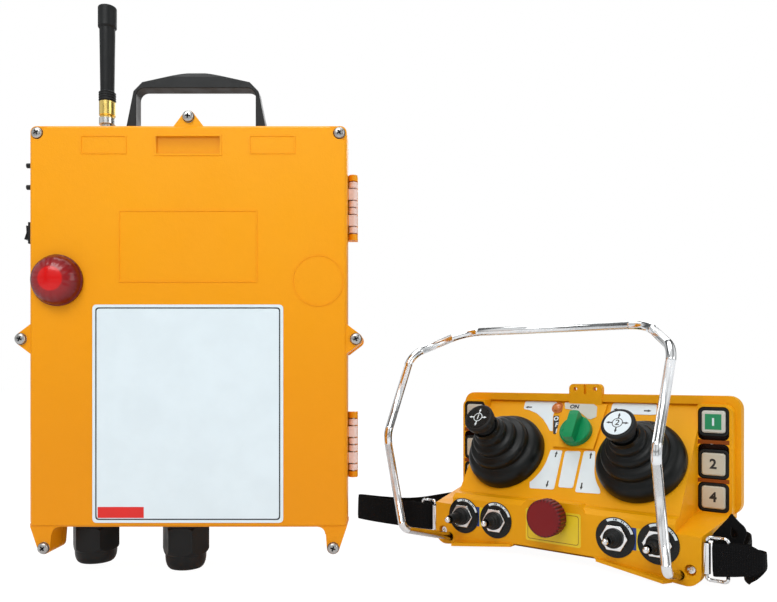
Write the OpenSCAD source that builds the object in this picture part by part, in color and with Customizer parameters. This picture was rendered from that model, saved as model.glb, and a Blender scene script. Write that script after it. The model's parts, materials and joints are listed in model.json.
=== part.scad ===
// Crane radio remote control: a receiver with a hinged lid, and a belly-box transmitter.
// Millimetres. +Z is up, both units stand on z = 0, and the origin is the middle of the
// transmitter's base. The receiver stands square to the axes; the transmitter is turned about Z.

/* [Arrangement] */
// Turn of the transmitter about the vertical, in degrees
tx_turn = 39.5; // [0:0.5:60]
// Receiver centre, left of the transmitter's base centre
rx_offset_x = 366; // [350:1:460]
// Receiver lid face, in front of the transmitter's base centre
rx_offset_y = 106; // [60:1:160]

/* [Receiver case] */
// Width of the receiver case
rx_w = 278; // [260:1:320]
// Height of the receiver case
rx_h = 352; // [340:1:400]
// Height of the case's lower edge above the floor
rx_lift = 48; // [48:1:60]
// Depth of the hinged lid
lid_d = 24; // [22:1:30]
// Depth of the rear box
box_d = 66; // [60:1:90]
// How far each side of the box draws in towards its back
box_draft = 5; // [1:0.5:7]
// Wall of the receiver castings
rx_wall = 3; // [2.5:0.5:3.5]
// Corner radius of the receiver case
rx_r = 6; // [4:1:8]
// Reach of the screw ears past the case sides
ear_reach = 13.5; // [12.5:0.5:16]
// Drop of the two lower screw ears
ear_drop = 24; // [22:0.5:28]
// Thread diameter of the lid screws
lid_screw_d = 5; // [4:0.5:5]

/* [Receiver fittings] */
// Width of the carrying handle over its legs
handle_w = 130; // [110:1:150]
// Height of the handle's peak above the case
handle_rise = 58; // [50:1:70]
// Diameter of the antenna rod
whip_d = 14; // [10:0.5:14.4]
// Height of the antenna above its plug
whip_h = 88; // [70:1:160]
// Diameter of the beacon lens
beacon_d = 45; // [38:1:48]
// Height of the beacon lens
beacon_h = 17; // [12:1:22]
// Thread diameter of the cable glands
gland_d = 32; // [28:1:34]
// Width of the bare name plate
plate_w = 167; // [120:1:190]
// Height of the bare name plate
plate_h = 191; // [120:1:194]

/* [Transmitter case] */
// Height of the transmitter's rear rim
tx_h = 162; // [160:1:172]
// Width over the rear rim
tx_w = 302; // [300:1:312]
// Width of the front face
front_w = 276; // [272:1:280]
// Width of the raised control panel
panel_w = 232; // [230:1:234]
// Slope of the control panel, in degrees from the horizontal
panel_tilt = 55; // [54.5:0.1:56]
// Depth of the rear shell
rear_d = 42; // [40:1:60]
// Wall of the transmitter mouldings
tx_wall = 3; // [2.5:0.5:3]
// Height of the belly arch between the two feet
arch_h = 12; // [10:0.5:13]

/* [Guard rail] */
// Diameter of the guard rail rod
rail_d = 8; // [6:0.5:8]
// Height of the guard rail's top bar
rail_h = 230; // [215:1:250]
// Reach of the guard rail in front of the base centre
rail_reach = 142; // [130:1:160]

/* [Joysticks] */
// Distance between the two joysticks
joy_pitch = 145; // [144:0.5:146]
// Diameter of the joystick boot
boot_d = 84; // [78:1:84]
// Height of the knob's top above the panel
joy_h = 73; // [71:1:90]
// Diameter of the joystick knob
knob_d = 31; // [26:1:34]

/* [Switches] */
// Distance between the two outer toggle switches
outer_pitch = 204; // [202:0.5:206]
// Distance between the two inner toggle switches
inner_pitch = 126; // [124:0.5:128]
// Diameter of a toggle's legend dial
dial_d = 37; // [30:0.5:38]
// Height of an outer toggle switch over the face
outer_toggle_h = 33; // [29:1:36]
// Height of an inner toggle switch over the face
inner_toggle_h = 26; // [24:1:32]
// Diameter of the stop button's head
stop_d = 36; // [30:1:40]
// Stroke of the stop button
stop_stroke = 4; // [2:0.5:4]
// Diameter of the mode knob
mode_d = 33; // [28:1:36]
// Side of a square push-button cap
cap_w = 20.6; // [18:0.2:21]
// Stroke of a push-button
cap_stroke = 2.5; // [1.5:0.5:2.5]

/* [Waist belt] */
// Width of the webbing
web_w = 28; // [20:1:28]
// Thickness of the webbing
web_t = 1.6; // [1.2:0.1:1.8]
// Diameter of the strap loop's wire
loop_wire_d = 3; // [2.5:0.5:3.5]

/* [Hidden] */
$fn = 48;

// Overrun of every cut past the face it opens
over = 1;
// Gap between a piece and the seat or bore it lies in
fit = 0.3;
// Radial clearance of a shaft or pin that turns in its bore
run = 0.05;
// Step and lap where a straight rod meets a bend
seam_step = 0.02;
seam_lap = 0.2;

// Receiver levels
rx_top = rx_lift + rx_h;
rx_mid_z = rx_lift + rx_h / 2;
seal_gap = 1;
seal_w = 2;
seal_in = 0.5;
lid_back = lid_d - seal_gap / 2;
box_front = lid_d + seal_gap / 2;
box_back = lid_d + box_d;
box_floor = box_back - rx_wall;
edge_cut = 2;

// Screw ears and lid screws
lid_screw_r = lid_screw_d / 2;
pan_r = 4.8;
pan_h = 2.6;
washer_r = 5.2;
washer_t = 0.9;
cross_w = 1.2;
pan_top_share = 0.8;
ear_step = 1.5;
screw_len = lid_back - ear_step - edge_cut;
thread_gap = 0.4;
ear_r = 5.5;
ear_half = 13;
ear_depth = 9;
ear_pilot = 12;
side_ear_drop = 187;
side_ear_z = rx_top - side_ear_drop;
swing_ear_back = 16;
swing_ear_box = 37;
corner_screw_in = 6.5;
corner_land = 16;
low_ear_side = 12;
low_ear_x = rx_w / 2 - low_ear_side;
low_ear_out = 12;
low_ear_in = 7;
low_fillet = 6.5;

// Hinges on the right side of the case
hinge_r = 4;
hinge_pin_r = 1.5;
hinge_gap = 0.5;
hinge_x = rx_w / 2 + hinge_r + hinge_gap;
hinge_wide = 9.6;
hinge_narrow = 5.2;
hinge_cap = 5.3;
hinge_slit = 1.2;
hinge_back_t = 2.4;
hinge_drop = 67;
hinge_up = 70.5;
hinge_zs = [rx_top - hinge_drop, rx_lift + hinge_up];
// Knuckles from the bottom up: cap, then narrow, wide, narrow twice, then cap
knuckles = [hinge_cap, hinge_narrow, hinge_wide, hinge_narrow,
            hinge_narrow, hinge_wide, hinge_narrow, hinge_cap];
lid_knuckles = [2, 5];
box_knuckles = [0, 1, 3, 4, 6, 7];

// Mouldings on the lid face
recess_w = 59;
recess_h = 19;
recess_drop = 17;
recess_deep = 1.2;
recess_frame = 2;
small_w = 40;
small_h = 16;
small_x = 74;
big_w = 121;
big_h = 63;
big_drop = 106;
big_z = rx_top - big_drop;
knock_in = 25;
knock_x = rx_w / 2 - knock_in;
knock_drop = 136;
knock_z = rx_top - knock_drop;
line_w = 0.8;
emboss = 0.6;

// Carrying handle
handle_y = 32.5;
handle_depth = 14;
handle_leg_t = 10.5;
handle_top_t = 15;
handle_bar_t = 5.5;
handle_lean = 8;
handle_corner = 8;
handle_in_r = 7.5;
handle_peak = 6;
handle_under = handle_rise - handle_top_t;

// Antenna
whip_in = 54;
whip_x = whip_in - rx_w / 2;
whip_y = 37;
socket_flange_r = 9;
socket_flange_h = 3;
socket_hex_r = 8;
socket_hex_h = 7;
socket_neck_r = 5;
socket_h = 19;
spigot_h = 6;
plug_r = 7.2;
plug_h = 15;
plug_waist_r = 5.6;
collar_h = 9;
collar_ribs = 4;
collar_rib = 0.6;
tip_h = 20;
tip_grow = 1.3;

// Cable glands
gland_ins = [38, 123];
gland_x = [for (g = gland_ins) g - rx_w / 2];
gland_reach_shares = [0.875, 1];
gland_y = 51;
gland_flange_r = 22;
gland_flange_h = 8;
gland_wall = 3;
gland_inside = 12;
gland_bore_r = 9;
gland_wide_r = 11;
gland_wide_down = 4;
gland_mouth_r = 13.5;
gland_dome_r = 18.8;
// Radius and height of the nut's dome, and of the step up to its flats, as shares
gland_dome_share = 0.3;
gland_step_shares = [[0, 0.34], [0.45, 0.38], [1, 0.46], [1, 0.94], [0.5, 1]];

// Fittings on the left wall of the lid
rocker_drop = 93;
rocker_z = rx_top - rocker_drop;
side_y = 12;
rocker_frame_w = 13;
rocker_frame_h = 19;
rocker_frame_t = 4;
rocker_w = 8.6;
rocker_h = 14.6;
rocker_front = 7.5;
rocker_dip = 1.2;
rocker_deep = 5;
rocker_tilt = 8;
rocker_pivot = 1.5;
plug_drops = [32, 51.3];
plug_zs = [for (d = plug_drops) rx_top - d];
plug_side_r = 2.2;
plug_side_out = 8;
plug_flange_r = 3.4;
plug_flange_t = 1.5;

// Receiver inside
board_side = 29;
board_under = 91;
board_over = 71;
board_w = rx_w - 2 * board_side;
board_h = rx_h - board_under - board_over;
board_t = 1.6;
standoff_h = 8;
standoff_r = 4;
board_in = 8;
board_y = box_floor - standoff_h - board_t;
board_z = rx_lift + board_under + board_h / 2;
hole_x = board_w / 2 - board_in;
hole_z = board_h / 2 - board_in;
relay_w = 16;
relay_h = 29;
relay_d = 20;
relay_cols = 8;
relay_rows = 2;
relay_edge = 18;
relay_pitch_x = (board_w - 2 * relay_edge - relay_w) / (relay_cols - 1);
relay_pitch_z = 44;
trafo_w = 66;
trafo_h = 44;
trafo_d = 40;
trafo_x = -60;
trafo_drop = 41;
trafo_z = rx_top - trafo_drop;
coil_w = 42;
coil_d = 8;
strip_pitch = 10;
strip_ways = 18;
strip_h = 22;
strip_d = 18;
strip_up = 60;
strip_z = rx_lift + strip_up;
strip_screw_r = 2;
plate_t = 0.8;
plate_up = 4;
plate_z = rx_lift + plate_up + plate_h / 2;
plate_r = 4;

// Tapped holes in the back of the box for a wall bracket
rear_hole_in = 39;
rear_hole_up = 46;
rear_hole_xs = [for (s = [-1, 1]) s * (rx_w / 2 - rear_hole_in)];
rear_hole_zs = [rx_lift + rear_hole_up, rx_top - rear_hole_up];
rear_hole_r = 2.5;
rear_hole_deep = 10;
rear_boss_r = 6;

// Transmitter sections
face_y = -50;
face_h = 51;
ledge_cut = 4.5;
ledge_back = 13;
ledge_rise = 1.5;
panel_z0 = face_h + ledge_cut + ledge_rise;
panel_y0 = face_y + ledge_back;
part_y = 32;
rim_band = 8;
top_z = tx_h - rim_band;
wing_y = 15;
wing_gap = 2;
wing_w = tx_w - rim_band - wing_gap;
wing_r = 8;
rim_t = 5;
rim_r = 12;
shelf_t = 5;
shelf_z0 = 43.5;
shelf_z1 = 54;
rim_z0 = shelf_z1 - tx_wall;
cheek_t = 12;
cheek_r = 12;
belly_y = -10;
foot_x = 125;
foot_edge = 45;
foot_step_h = 8.5;
foot_step_x = 42;
panel_run = (top_z - panel_z0) / sin(panel_tilt);
panel_y1 = panel_y0 + panel_run * cos(panel_tilt);

// Lip along the belly edge of the front face
lip_t = 3;
lip_out = 12;
lip_in = 2;
lip_x1 = 110;
lip_x2 = 114;

// Raised seats on the front shell
stop_z = 45;
stop_seat_w = 66;
stop_seat_z = 58.5;
stop_seat_cut = 6;
stop_seat_d = 14.5;
mode_a = 78;
mode_seat_t = 3;
mode_seat_a = 60;
mode_seat_low = 22;
mode_seat_high = 24;
lug_w = 36;
lug_h = 10.5;
lug_t = 7;
lug_r = 5;
lug_hole_r = 2.1;
lug_hole_x = 11;
lug_slot_w = 2.5;

// Rear shell
rear_w = 268;
rear_low_w = 212;
rear_y = part_y + rear_d;
rear_drop = 30;
rear_cut = 12;
rear_r = 10;
post_r = 6;
case_screw_r = 2;
case_head_r = 3.8;
case_head_h = 3;
case_pilot_y = 20;
case_screw_xz = [[-127, 118.6], [127, 118.6], [-98, 8.5], [98, 8.5]];
case_grip = 10;
battery_w = 84;
battery_h = 54;
battery_d = 20;
battery_z = 62;
cover_t = 2.4;
cover_in = 2;
cover_r = 5;
finger_r = 9;
finger_deep = 1;

// Joysticks
joy_x = joy_pitch / 2;
joy_a = 49;
joy_hole_r = 29;
pivot_drop = 8;
base_r = 26;
base_flange_r = 32;
base_flange_t = 3;
base_h = 31;
base_wall = 3;
ring_r = 14;
ring_bore_r = 10;
ring_h = 10;
trunnion_r = 3;
boss_r = 5.5;
hub_r = 7;
hub_half = 6;
pin_short = 1;
boss_len = 5.2;
rod_r = 4;
rod_tail = 12;
knob_neck_r = 11;
knob_h = 24;
knob_rim_h = 8;
knob_groove = 0.7;
knob_rings = 4;
knob_ring_shares = [0, 0.75, 1];
knob_socket = 10;
boot_wall = 1.6;
boot_top_h = 56;
collar_shares = [0.93, 1];
// Outline of the boot from its foot to its collar, as shares of the boot's radius and height
boot_shares = [[0.985, 0], [1, 0.03], [1, 0.12], [0.97, 0.22], [0.88, 0.31], [0.78, 0.35], [0.75, 0.36],
               [0.75, 0.45], [0.7, 0.52], [0.6, 0.545], [0.56, 0.56], [0.56, 0.64], [0.51, 0.7],
               [0.43, 0.725], [0.41, 0.75], [0.41, 0.82], [0.37, 0.87], [0.33, 0.9], [0.33, 1]];

// Toggle switches
toggle_z = 33;
toggle_xs = [-outer_pitch / 2, -inner_pitch / 2, inner_pitch / 2, outer_pitch / 2];
toggle_hs = [outer_toggle_h, inner_toggle_h, inner_toggle_h, outer_toggle_h];
toggle_r = 6;
toggle_bore_r = 4;
toggle_pivot = 2;
dial_t = 0.8;
nut_r = 13;
nut_h = 4;
can_w = 13;
can_h = 22;
can_d = 16;
boot_low_r = 7.6;
boot_up_r = 4.2;
boot_bulge_r = 6.4;
fold_shares = [0.2, 0.32, 0.45, 0.7];
tip_bare = 7;
toggle_rod_r = 2.2;
toggle_ball_r = 3.6;
toggle_tip_r = 3;
toggle_tip_h = 9;
toggle_tail = 8;
toggle_tail_r = 1.6;

// Stop button
stop_hole_r = 11.2;
stop_collar_r = 14;
stop_collar_t = 1.2;
stop_barrel = 11;
stop_stem_r = 8;
stop_spigot_r = 5;
stop_spigot_h = 6;
stop_head_h = 14;
stop_ribs = 28;
stop_rib_r = 1.1;
stop_dish = 0.8;
stop_edge = 2;
stop_back_y = face_y - stop_collar_t - stop_stroke - fit;
stop_inside = 24;

// Mode knob and indicator
mode_skirt_h = 7;
mode_bar_w = 10;
mode_bar_h = 11;
mode_shaft_r = 3;
mode_shaft_in = 12;
lamp_x = -31;
lamp_a = 109;
lamp_r = 5.4;
lamp_h = 4;
lamp_stem_r = 3;

// Push-buttons, from the top down on each wing
button_x = 130;
button_drops = [15.8, 55.1, 85.7];
button_zs = [for (d = button_drops) top_z - d];
// Upper and lower end of each pocket, below the wing's top
pocket_drops = [[2, 32.9], [36.3, 68.8], [72, 99.4]];
pocket_w = 27.4;
pocket_r = 5;
pocket_deep = 9;
bezel_t = 8;
bezel_step = 0.6;
cap_out = 1;
cap_t = 7;
cap_r = 2.5;
cap_edge = 0.8;
cap_stem_r = 5;
cap_stem_h = 8;
wing_back_y = wing_y + pocket_deep + tx_wall;

// Rail ends and their screws in the front face
rail_r = rail_d / 2;
socket_x = 120;
socket_z = 8.5;
socket_deep = 6;
rail_x = 131.5;
rail_knee_y = -117;
rail_knee_z = 26;
rail_mid_share = 0.53;
rail_shoulder_y = -103;
rail_shoulder_share = 0.88;
rail_top_x = 95;
rail_top_y = -58;
rail_bends = [14, 24, 28, 34];
rail_screw_x = 129;
rail_screw_z = 14;
rail_bore_r = 5;
rail_bore_deep = 6;
rail_screw_r = 2;
rail_head_r = 4.2;
rail_head_h = 3;
rail_screw_len = 9;

// Strap hardware and belt
bracket_r = 3.2;
bracket_h = 26;
bracket_t = 1.4;
bracket_len = 8;
bracket_x = front_w / 2 + bracket_r + fit;
bracket_y = face_y + bracket_r;
web_z = 26;
loop_reach = 17;
loop_h = 36;
loop_bend = 3;
loop_wire_r = loop_wire_d / 2;
web_low = web_z - web_w / 2;
wrap_r = loop_wire_r + web_t / 2 + fit;
wrap_x = bracket_x + loop_reach;
fold_in = 9;
// Belt route seen from above, as shares of the rim's half width and of the face's distance
belt_left_shares = [[-1.24, -1.06], [-1.46, -1.08], [-1.64, -1.03], [-1.665, -0.97], [-1.64, -0.91],
                    [-1.46, -0.84], [-1.29, -0.68], [-1.21, -0.3], [-1.18, 0.4], [-1.14, 1.2]];
belt_back_shares = [[-1.02, 1.62], [-0.8, 1.8], [-0.4, 1.86], [0.4, 1.86], [0.72, 1.8], [0.92, 1.6]];
belt_right_shares = [[0.993, 1.32], [1.033, 0.8], [1.06, 0], [1.113, -0.4], [1.172, -0.6],
                     [1.222, -0.74], [1.235, -0.88], [1.222, -0.985]];

// Board and pack in the rear shell
control_w = 190;
control_h = 60;
control_t = 1.6;
control_y = 42;
control_z = 118;
control_post_x = 85;
control_post_z = 20;
control_posts = [for (x = [-1, 1], z = [-1, 1]) [x * control_post_x, control_z + z * control_post_z]];
bay_y = rear_y - cover_t - battery_d - 2 * fit;

// Bare labels: on the panel as shares of the joystick's offset and the panel's run
label_t = 0.4;
strip_shares = [
    [[-0.15, 0.49], [-0.34, 0.48], [-0.49, 0.08], [-0.12, 0.09]],
    [[0.12, 0.49], [-0.12, 0.48], [-0.08, 0.11], [0.14, 0.12]],
    [[0.33, 0.5], [0.17, 0.49], [0.19, 0.1], [0.57, 0.09]]];
top_shares = [
    [[-1.03, 0.985], [-0.95, 0.9], [-0.55, 0.83], [-0.4, 0.68], [-0.4, 0.82], [-0.58, 0.97], [-0.68, 0.98]],
    [[0.37, 0.985], [0.41, 0.895], [1.02, 0.885], [0.98, 0.98]]];
on_shares = [[-0.2, 0.94], [0.28, 0.94], [0.3, 0.88], [0.2, 0.83], [-0.18, 0.83]];
stop_plate_w = 58;
stop_plate_h = 32;
mini_w = 9;
mini_h = 21;

// Placement of the two units
module on_receiver() translate([-rx_offset_x, -rx_offset_y, 0]) children();
module on_transmitter() rotate([0, 0, -tx_turn]) children();

// Extrudes an X-Z outline along Y from y0 to y1
module slab(y0, y1) translate([0, y1, 0]) rotate([90, 0, 0]) linear_extrude(y1 - y0) children();
// Extrudes a Y-Z outline along X from x0 to x1
module side(x0, x1) translate([x0, 0, 0]) rotate([90, 0, 90]) linear_extrude(x1 - x0) children();
// Stands its children on a face whose outward normal is -Y
module on_front(x, y, z) translate([x, y, z]) rotate([90, 0, 0]) children();
// Stands its children on the sloping panel, a millimetres up the slope from its lower edge
module on_panel(x, a)
    translate([x, panel_y0 + a * cos(panel_tilt), panel_z0 + a * sin(panel_tilt)])
        rotate([panel_tilt, 0, 0]) children();

// Points of a quarter circle, and of a rectangle with round corners about the origin
function fan(r, from, n = 6) = [for (i = [0:n]) r * [cos(from + 90 * i / n), sin(from + 90 * i / n)]];
function rounded(w, h, r) = concat(
    [for (p = fan(r, 0)) p + [w / 2 - r, h / 2 - r]],
    [for (p = fan(r, 90)) p + [r - w / 2, h / 2 - r]],
    [for (p = fan(r, 180)) p + [r - w / 2, r - h / 2]],
    [for (p = fan(r, 270)) p + [w / 2 - r, r - h / 2]]);

// A closed outline, counter-clockwise, drawn in by d all round
function unit(v) = v / norm(v);
function left_of(v) = [-v[1], v[0]];
function mitre(p, u, v, d) = p + (left_of(u) + left_of(v)) * d / (1 + left_of(u) * left_of(v));
function inset(p, d) = let (n = len(p)) [for (i = [0:n - 1])
    mitre(p[i], unit(p[i] - p[(i + n - 1) % n]), unit(p[(i + 1) % n] - p[i]), d)];
// An open path moved to its left by d, and the closed skin of thickness t along it
function beside(p, d) = let (n = len(p) - 1) [for (i = [0:n])
    mitre(p[i], unit(p[max(i, 1)] - p[max(i, 1) - 1]), unit(p[min(i, n - 1) + 1] - p[min(i, n - 1)]), d)];
function reversed(p) = [for (i = [len(p) - 1:-1:0]) p[i]];
function skin(p, a, b) = concat(beside(p, a), reversed(beside(p, b)));

// Rod between two points, a round bend, and a tube along a path with a bend at each corner
function turn_of(u, v) = acos(u * v);
function legs(p) = [for (i = [0:len(p) - 2]) unit(p[i + 1] - p[i])];
function cut_back(u, v, bend_r) = bend_r * tan(turn_of(u, v) / 2);
module rod(a, b, r) {
    d = b - a;
    translate(a) rotate([0, acos(d[2] / norm(d)), atan2(d[1], d[0])]) cylinder(r = r, h = norm(d));
}
module bend(p, u, v, bend_r, r) {
    n = unit(cross(u, v));
    ex = cross(u, n);
    c = p - u * cut_back(u, v, bend_r) - ex * bend_r;
    multmatrix([[ex[0], u[0], n[0], c[0]], [ex[1], u[1], n[1], c[1]], [ex[2], u[2], n[2], c[2]]])
        rotate_extrude(angle = turn_of(u, v)) translate([bend_r, 0]) circle(r = r);
}
// The straights are a hair thinner than the bends, and reach a little way into them
module tube(p, bends, r) {
    u = legs(p);
    last = len(p) - 1;
    for (i = [0:last - 1]) {
        from = i == 0 ? 0 : cut_back(u[i - 1], u[i], bends[i - 1]) - seam_lap;
        to = i == last - 1 ? 0 : cut_back(u[i], u[i + 1], bends[i]) - seam_lap;
        rod(p[i] + u[i] * from, p[i + 1] - u[i] * to, r - seam_step);
    }
    for (i = [1:last - 1]) bend(p[i], u[i - 1], u[i], bends[i - 1], r);
}

// Screw ear on a base line: a triangle with a round tip, reach is from the base to the tip
function ear_lean(b, rise) = 90 - atan2(rise, b) - asin(ear_r / norm([b, rise]));
function ear_outline(left, right, reach, n = 10) =
    let (rise = reach - ear_r, a = ear_lean(right, rise), b = 180 - ear_lean(left, rise))
    concat([[right, -rx_wall], [right, 0]],
           [for (i = [0:n]) let (t = a + (b - a) * i / n) [ear_r * cos(t), rise + ear_r * sin(t)]],
           [[-left, 0], [-left, -rx_wall]]);
module pan_screw(shank_r, shank_len, head_r, head_h) {
    translate([0, 0, -shank_len]) cylinder(r = shank_r, h = shank_len);
    difference() {
        cylinder(r1 = head_r, r2 = head_r * pan_top_share, h = head_h);
        for (a = [0, 90]) rotate([0, 0, a])
            translate([-head_r / 2, -cross_w / 2, head_h / 2]) cube([head_r, cross_w, head_h]);
    }
}

// Where the seven lid screws stand, [x, z] from the case's centre line
function ear_bolts() = [
    [0, rx_top + ear_reach - ear_r],
    [-rx_w / 2 - ear_reach + ear_r, side_ear_z], [rx_w / 2 + ear_reach - ear_r, side_ear_z],
    [-low_ear_x, rx_lift - ear_drop + ear_r], [low_ear_x, rx_lift - ear_drop + ear_r]];
function corner_bolts() = [for (s = [-1, 1]) [s * (rx_w / 2 - corner_screw_in), rx_top - corner_screw_in]];
function lid_bolts() = concat(ear_bolts(), corner_bolts());

// The ears of one casting; the right side ear has its own depth, so that it can swing past
module ears(y0, y1, right_y0, right_y1) {
    slab(y0, y1) translate([0, rx_top]) polygon(ear_outline(ear_half, ear_half, ear_reach));
    slab(y0, y1) translate([-rx_w / 2, side_ear_z]) rotate(90)
        polygon(ear_outline(ear_half, ear_half, ear_reach));
    slab(right_y0, right_y1) translate([rx_w / 2, side_ear_z]) rotate(-90)
        polygon(ear_outline(ear_half, ear_half, ear_reach));
    for (s = [-1, 1]) slab(y0, y1) translate([s * low_ear_x, rx_lift]) rotate(180)
        polygon(s > 0 ? ear_outline(low_ear_out, low_ear_in, ear_drop)
                      : ear_outline(low_ear_in, low_ear_out, ear_drop));
    for (s = [-1, 1]) slab(y0, y1) translate([s * (low_ear_x - low_ear_in), rx_lift])
        polygon(root_fillet(-s, low_fillet));
}
// Hollow corner between an edge above and a flank, open towards d
function root_fillet(d, r) = concat([[-d * edge_cut, -r], [-d * edge_cut, rx_wall], [d * r, rx_wall]],
    [for (a = [90:15:180]) [d * r * (1 + cos(a)), r * (sin(a) - 1)]]);
// Outline of the case with its two top corners cut off by c
function case_outline(in, c) = let (x = rx_w / 2 - in, z0 = rx_lift + in, z1 = rx_top - in)
    [[-x, z0], [x, z0], [x, z1 - c], [x - c, z1], [c - x, z1], [-x, z1 - c]];
module case_block(y0, y1) slab(y0, y1) translate([0, rx_mid_z]) polygon(rounded(rx_w, rx_h, rx_r));

// Bottom of knuckle i above the bottom of its hinge
function knuckle_z(i) = i == 0 ? 0 : knuckle_z(i - 1) + knuckles[i - 1] + hinge_slit;
hinge_len = knuckle_z(len(knuckles) - 1) + hinge_cap;
// Knuckles of one half of both hinges, each with a tab from the case wall
module hinge_half(which, tab_y0, tab_y1) {
    for (z = hinge_zs, i = which) translate([0, 0, z - hinge_len / 2 + knuckle_z(i)]) {
        translate([hinge_x, lid_d, 0]) cylinder(r = hinge_r, h = knuckles[i]);
        translate([rx_w / 2 - edge_cut, tab_y0, 0])
            cube([hinge_x - rx_w / 2 + edge_cut, tab_y1 - tab_y0, knuckles[i]]);
    }
}
module hinge_bores() for (z = hinge_zs) translate([hinge_x, lid_d, z - hinge_len / 2 - over])
    cylinder(r = hinge_pin_r + run, h = hinge_len + 2 * over);

module receiver_box() color("orange") on_receiver() difference() {
    union() {
        intersection() {
            case_block(box_front, box_back);
            linear_extrude(rx_top) polygon([
                [-rx_w / 2, box_front], [rx_w / 2, box_front],
                [rx_w / 2 - box_draft, box_back], [box_draft - rx_w / 2, box_back]]);
            side(-rx_w / 2, rx_w / 2) polygon([
                [box_front, rx_lift], [box_back, rx_lift + box_draft],
                [box_back, rx_top - box_draft], [box_front, rx_top]]);
        }
        ears(box_front, box_front + ear_depth, swing_ear_box, swing_ear_box + ear_depth);
        hinge_half(box_knuckles, box_front, lid_d + hinge_r);
        for (z = hinge_zs) translate([rx_w / 2 - edge_cut, lid_d + hinge_r + hinge_gap, z - hinge_len / 2])
            cube([hinge_x + hinge_r - rx_w / 2 + edge_cut, hinge_back_t, hinge_len]);
        for (z = hinge_zs, i = box_knuckles)
            translate([hinge_x - hinge_r, lid_d + hinge_r - edge_cut, z - hinge_len / 2 + knuckle_z(i)])
                cube([hinge_r, edge_cut + hinge_gap, knuckles[i]]);
    }
    difference() {
        slab(box_front - over, box_floor) polygon(case_outline(rx_wall + box_draft, corner_land / 2));
        for (x = [-1, 1], z = [-1, 1])
            on_front(x * hole_x, box_floor + over, board_z + z * hole_z)
                cylinder(r = standoff_r, h = standoff_h + over);
        for (x = rear_hole_xs, z = rear_hole_zs) on_front(x, box_back, z)
            cylinder(r = rear_boss_r, h = rear_hole_deep + rx_wall);
    }
    for (p = lid_bolts()) on_front(p[0], 0, p[1]) translate([0, 0, -box_front - ear_pilot])
        cylinder(r = lid_screw_r, h = ear_pilot + over);
    on_front(ear_bolts()[2][0], 0, side_ear_z) translate([0, 0, -swing_ear_box - ear_depth - over])
        cylinder(r = lid_screw_r, h = ear_depth + 2 * over);
    for (x = gland_x) translate([x, gland_y, rx_lift - over])
        cylinder(r = gland_d / 2 + fit, h = rx_wall + box_draft + 2 * over);
    translate([whip_x, whip_y, rx_top - box_draft - rx_wall - over])
        cylinder(r = socket_neck_r + fit, h = box_draft + rx_wall + 2 * over);
    for (x = rear_hole_xs, z = rear_hole_zs) on_front(x, box_back + over, z)
        cylinder(r = rear_hole_r, h = rear_hole_deep + over);
    hinge_bores();
}

module receiver_lid() color("orange") on_receiver() difference() {
    union() {
        intersection() {
            case_block(0, lid_back);
            linear_extrude(rx_top) polygon([
                [-rx_w / 2, lid_back], [-rx_w / 2, edge_cut], [edge_cut - rx_w / 2, 0],
                [rx_w / 2 - edge_cut, 0], [rx_w / 2, edge_cut], [rx_w / 2, lid_back]]);
            side(-rx_w / 2, rx_w / 2) polygon([
                [0, rx_lift + edge_cut], [edge_cut, rx_lift], [lid_back, rx_lift],
                [lid_back, rx_top], [edge_cut, rx_top], [0, rx_top - edge_cut]]);
        }
        ears(ear_step, lid_back, ear_step, swing_ear_back);
        hinge_half(lid_knuckles, lid_d - hinge_r, lid_back);
        face_frame(0, rx_top - recess_drop, recess_w, recess_h, recess_frame);
        face_frame(0, big_z, big_w, big_h, line_w);
        for (s = [-1, 1]) face_frame(s * small_x, rx_top - recess_drop, small_w, small_h, line_w);
        on_front(knock_x, 0, knock_z) difference() {
            cylinder(d = beacon_d, h = emboss);
            translate([0, 0, -over]) cylinder(r = beacon_d / 2 - line_w, h = emboss + 2 * over);
        }
    }
    difference() {
        slab(rx_wall, lid_back + over) polygon(case_outline(rx_wall, corner_land));
        slab(rx_wall - over, recess_deep + rx_wall) translate([0, rx_top - recess_drop])
            square([recess_w, recess_h], center = true);
    }
    slab(-over, recess_deep) translate([0, rx_top - recess_drop])
        square([recess_w - 2 * recess_frame, recess_h - 2 * recess_frame], center = true);
    for (s = [-1, 1]) slab(-over, ear_step) polygon([
        [s * (rx_w / 2 + over), rx_top + over], [s * (rx_w / 2 - corner_land), rx_top + over],
        [s * (rx_w / 2 - corner_land), rx_top], [s * rx_w / 2, rx_top - corner_land],
        [s * (rx_w / 2 + over), rx_top - corner_land]]);
    for (p = lid_bolts()) on_front(p[0], lid_back + over, p[1])
        cylinder(r = lid_screw_r + fit, h = lid_back + 2 * over);
    for (p = corner_bolts()) on_front(p[0], ear_step, p[1])
        cylinder(r = washer_r + fit, h = ear_step + over);
    on_front(-knock_x, rx_wall + over, knock_z) cylinder(r = lamp_stem_r + fit, h = rx_wall + 2 * over);
    for (z = plug_zs) side_port(z) cylinder(r = plug_side_r + fit, h = 3 * rx_wall, center = true);
    side_port(rocker_z) cube([rocker_h + 2 * run, rocker_w + 2 * fit, rx_wall * 3], center = true);
    hinge_bores();
}
// A raised rectangular frame moulded on the lid face
module face_frame(x, z, w, h, t) slab(-emboss, edge_cut) translate([x, z]) difference() {
    square([w, h], center = true);
    square([w - 2 * t, h - 2 * t], center = true);
}
// Stands its children on the lid's left wall, looking out along -X, with their X upwards
module side_port(z) translate([-rx_w / 2, side_y, z]) rotate([0, -90, 0]) children();

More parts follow.
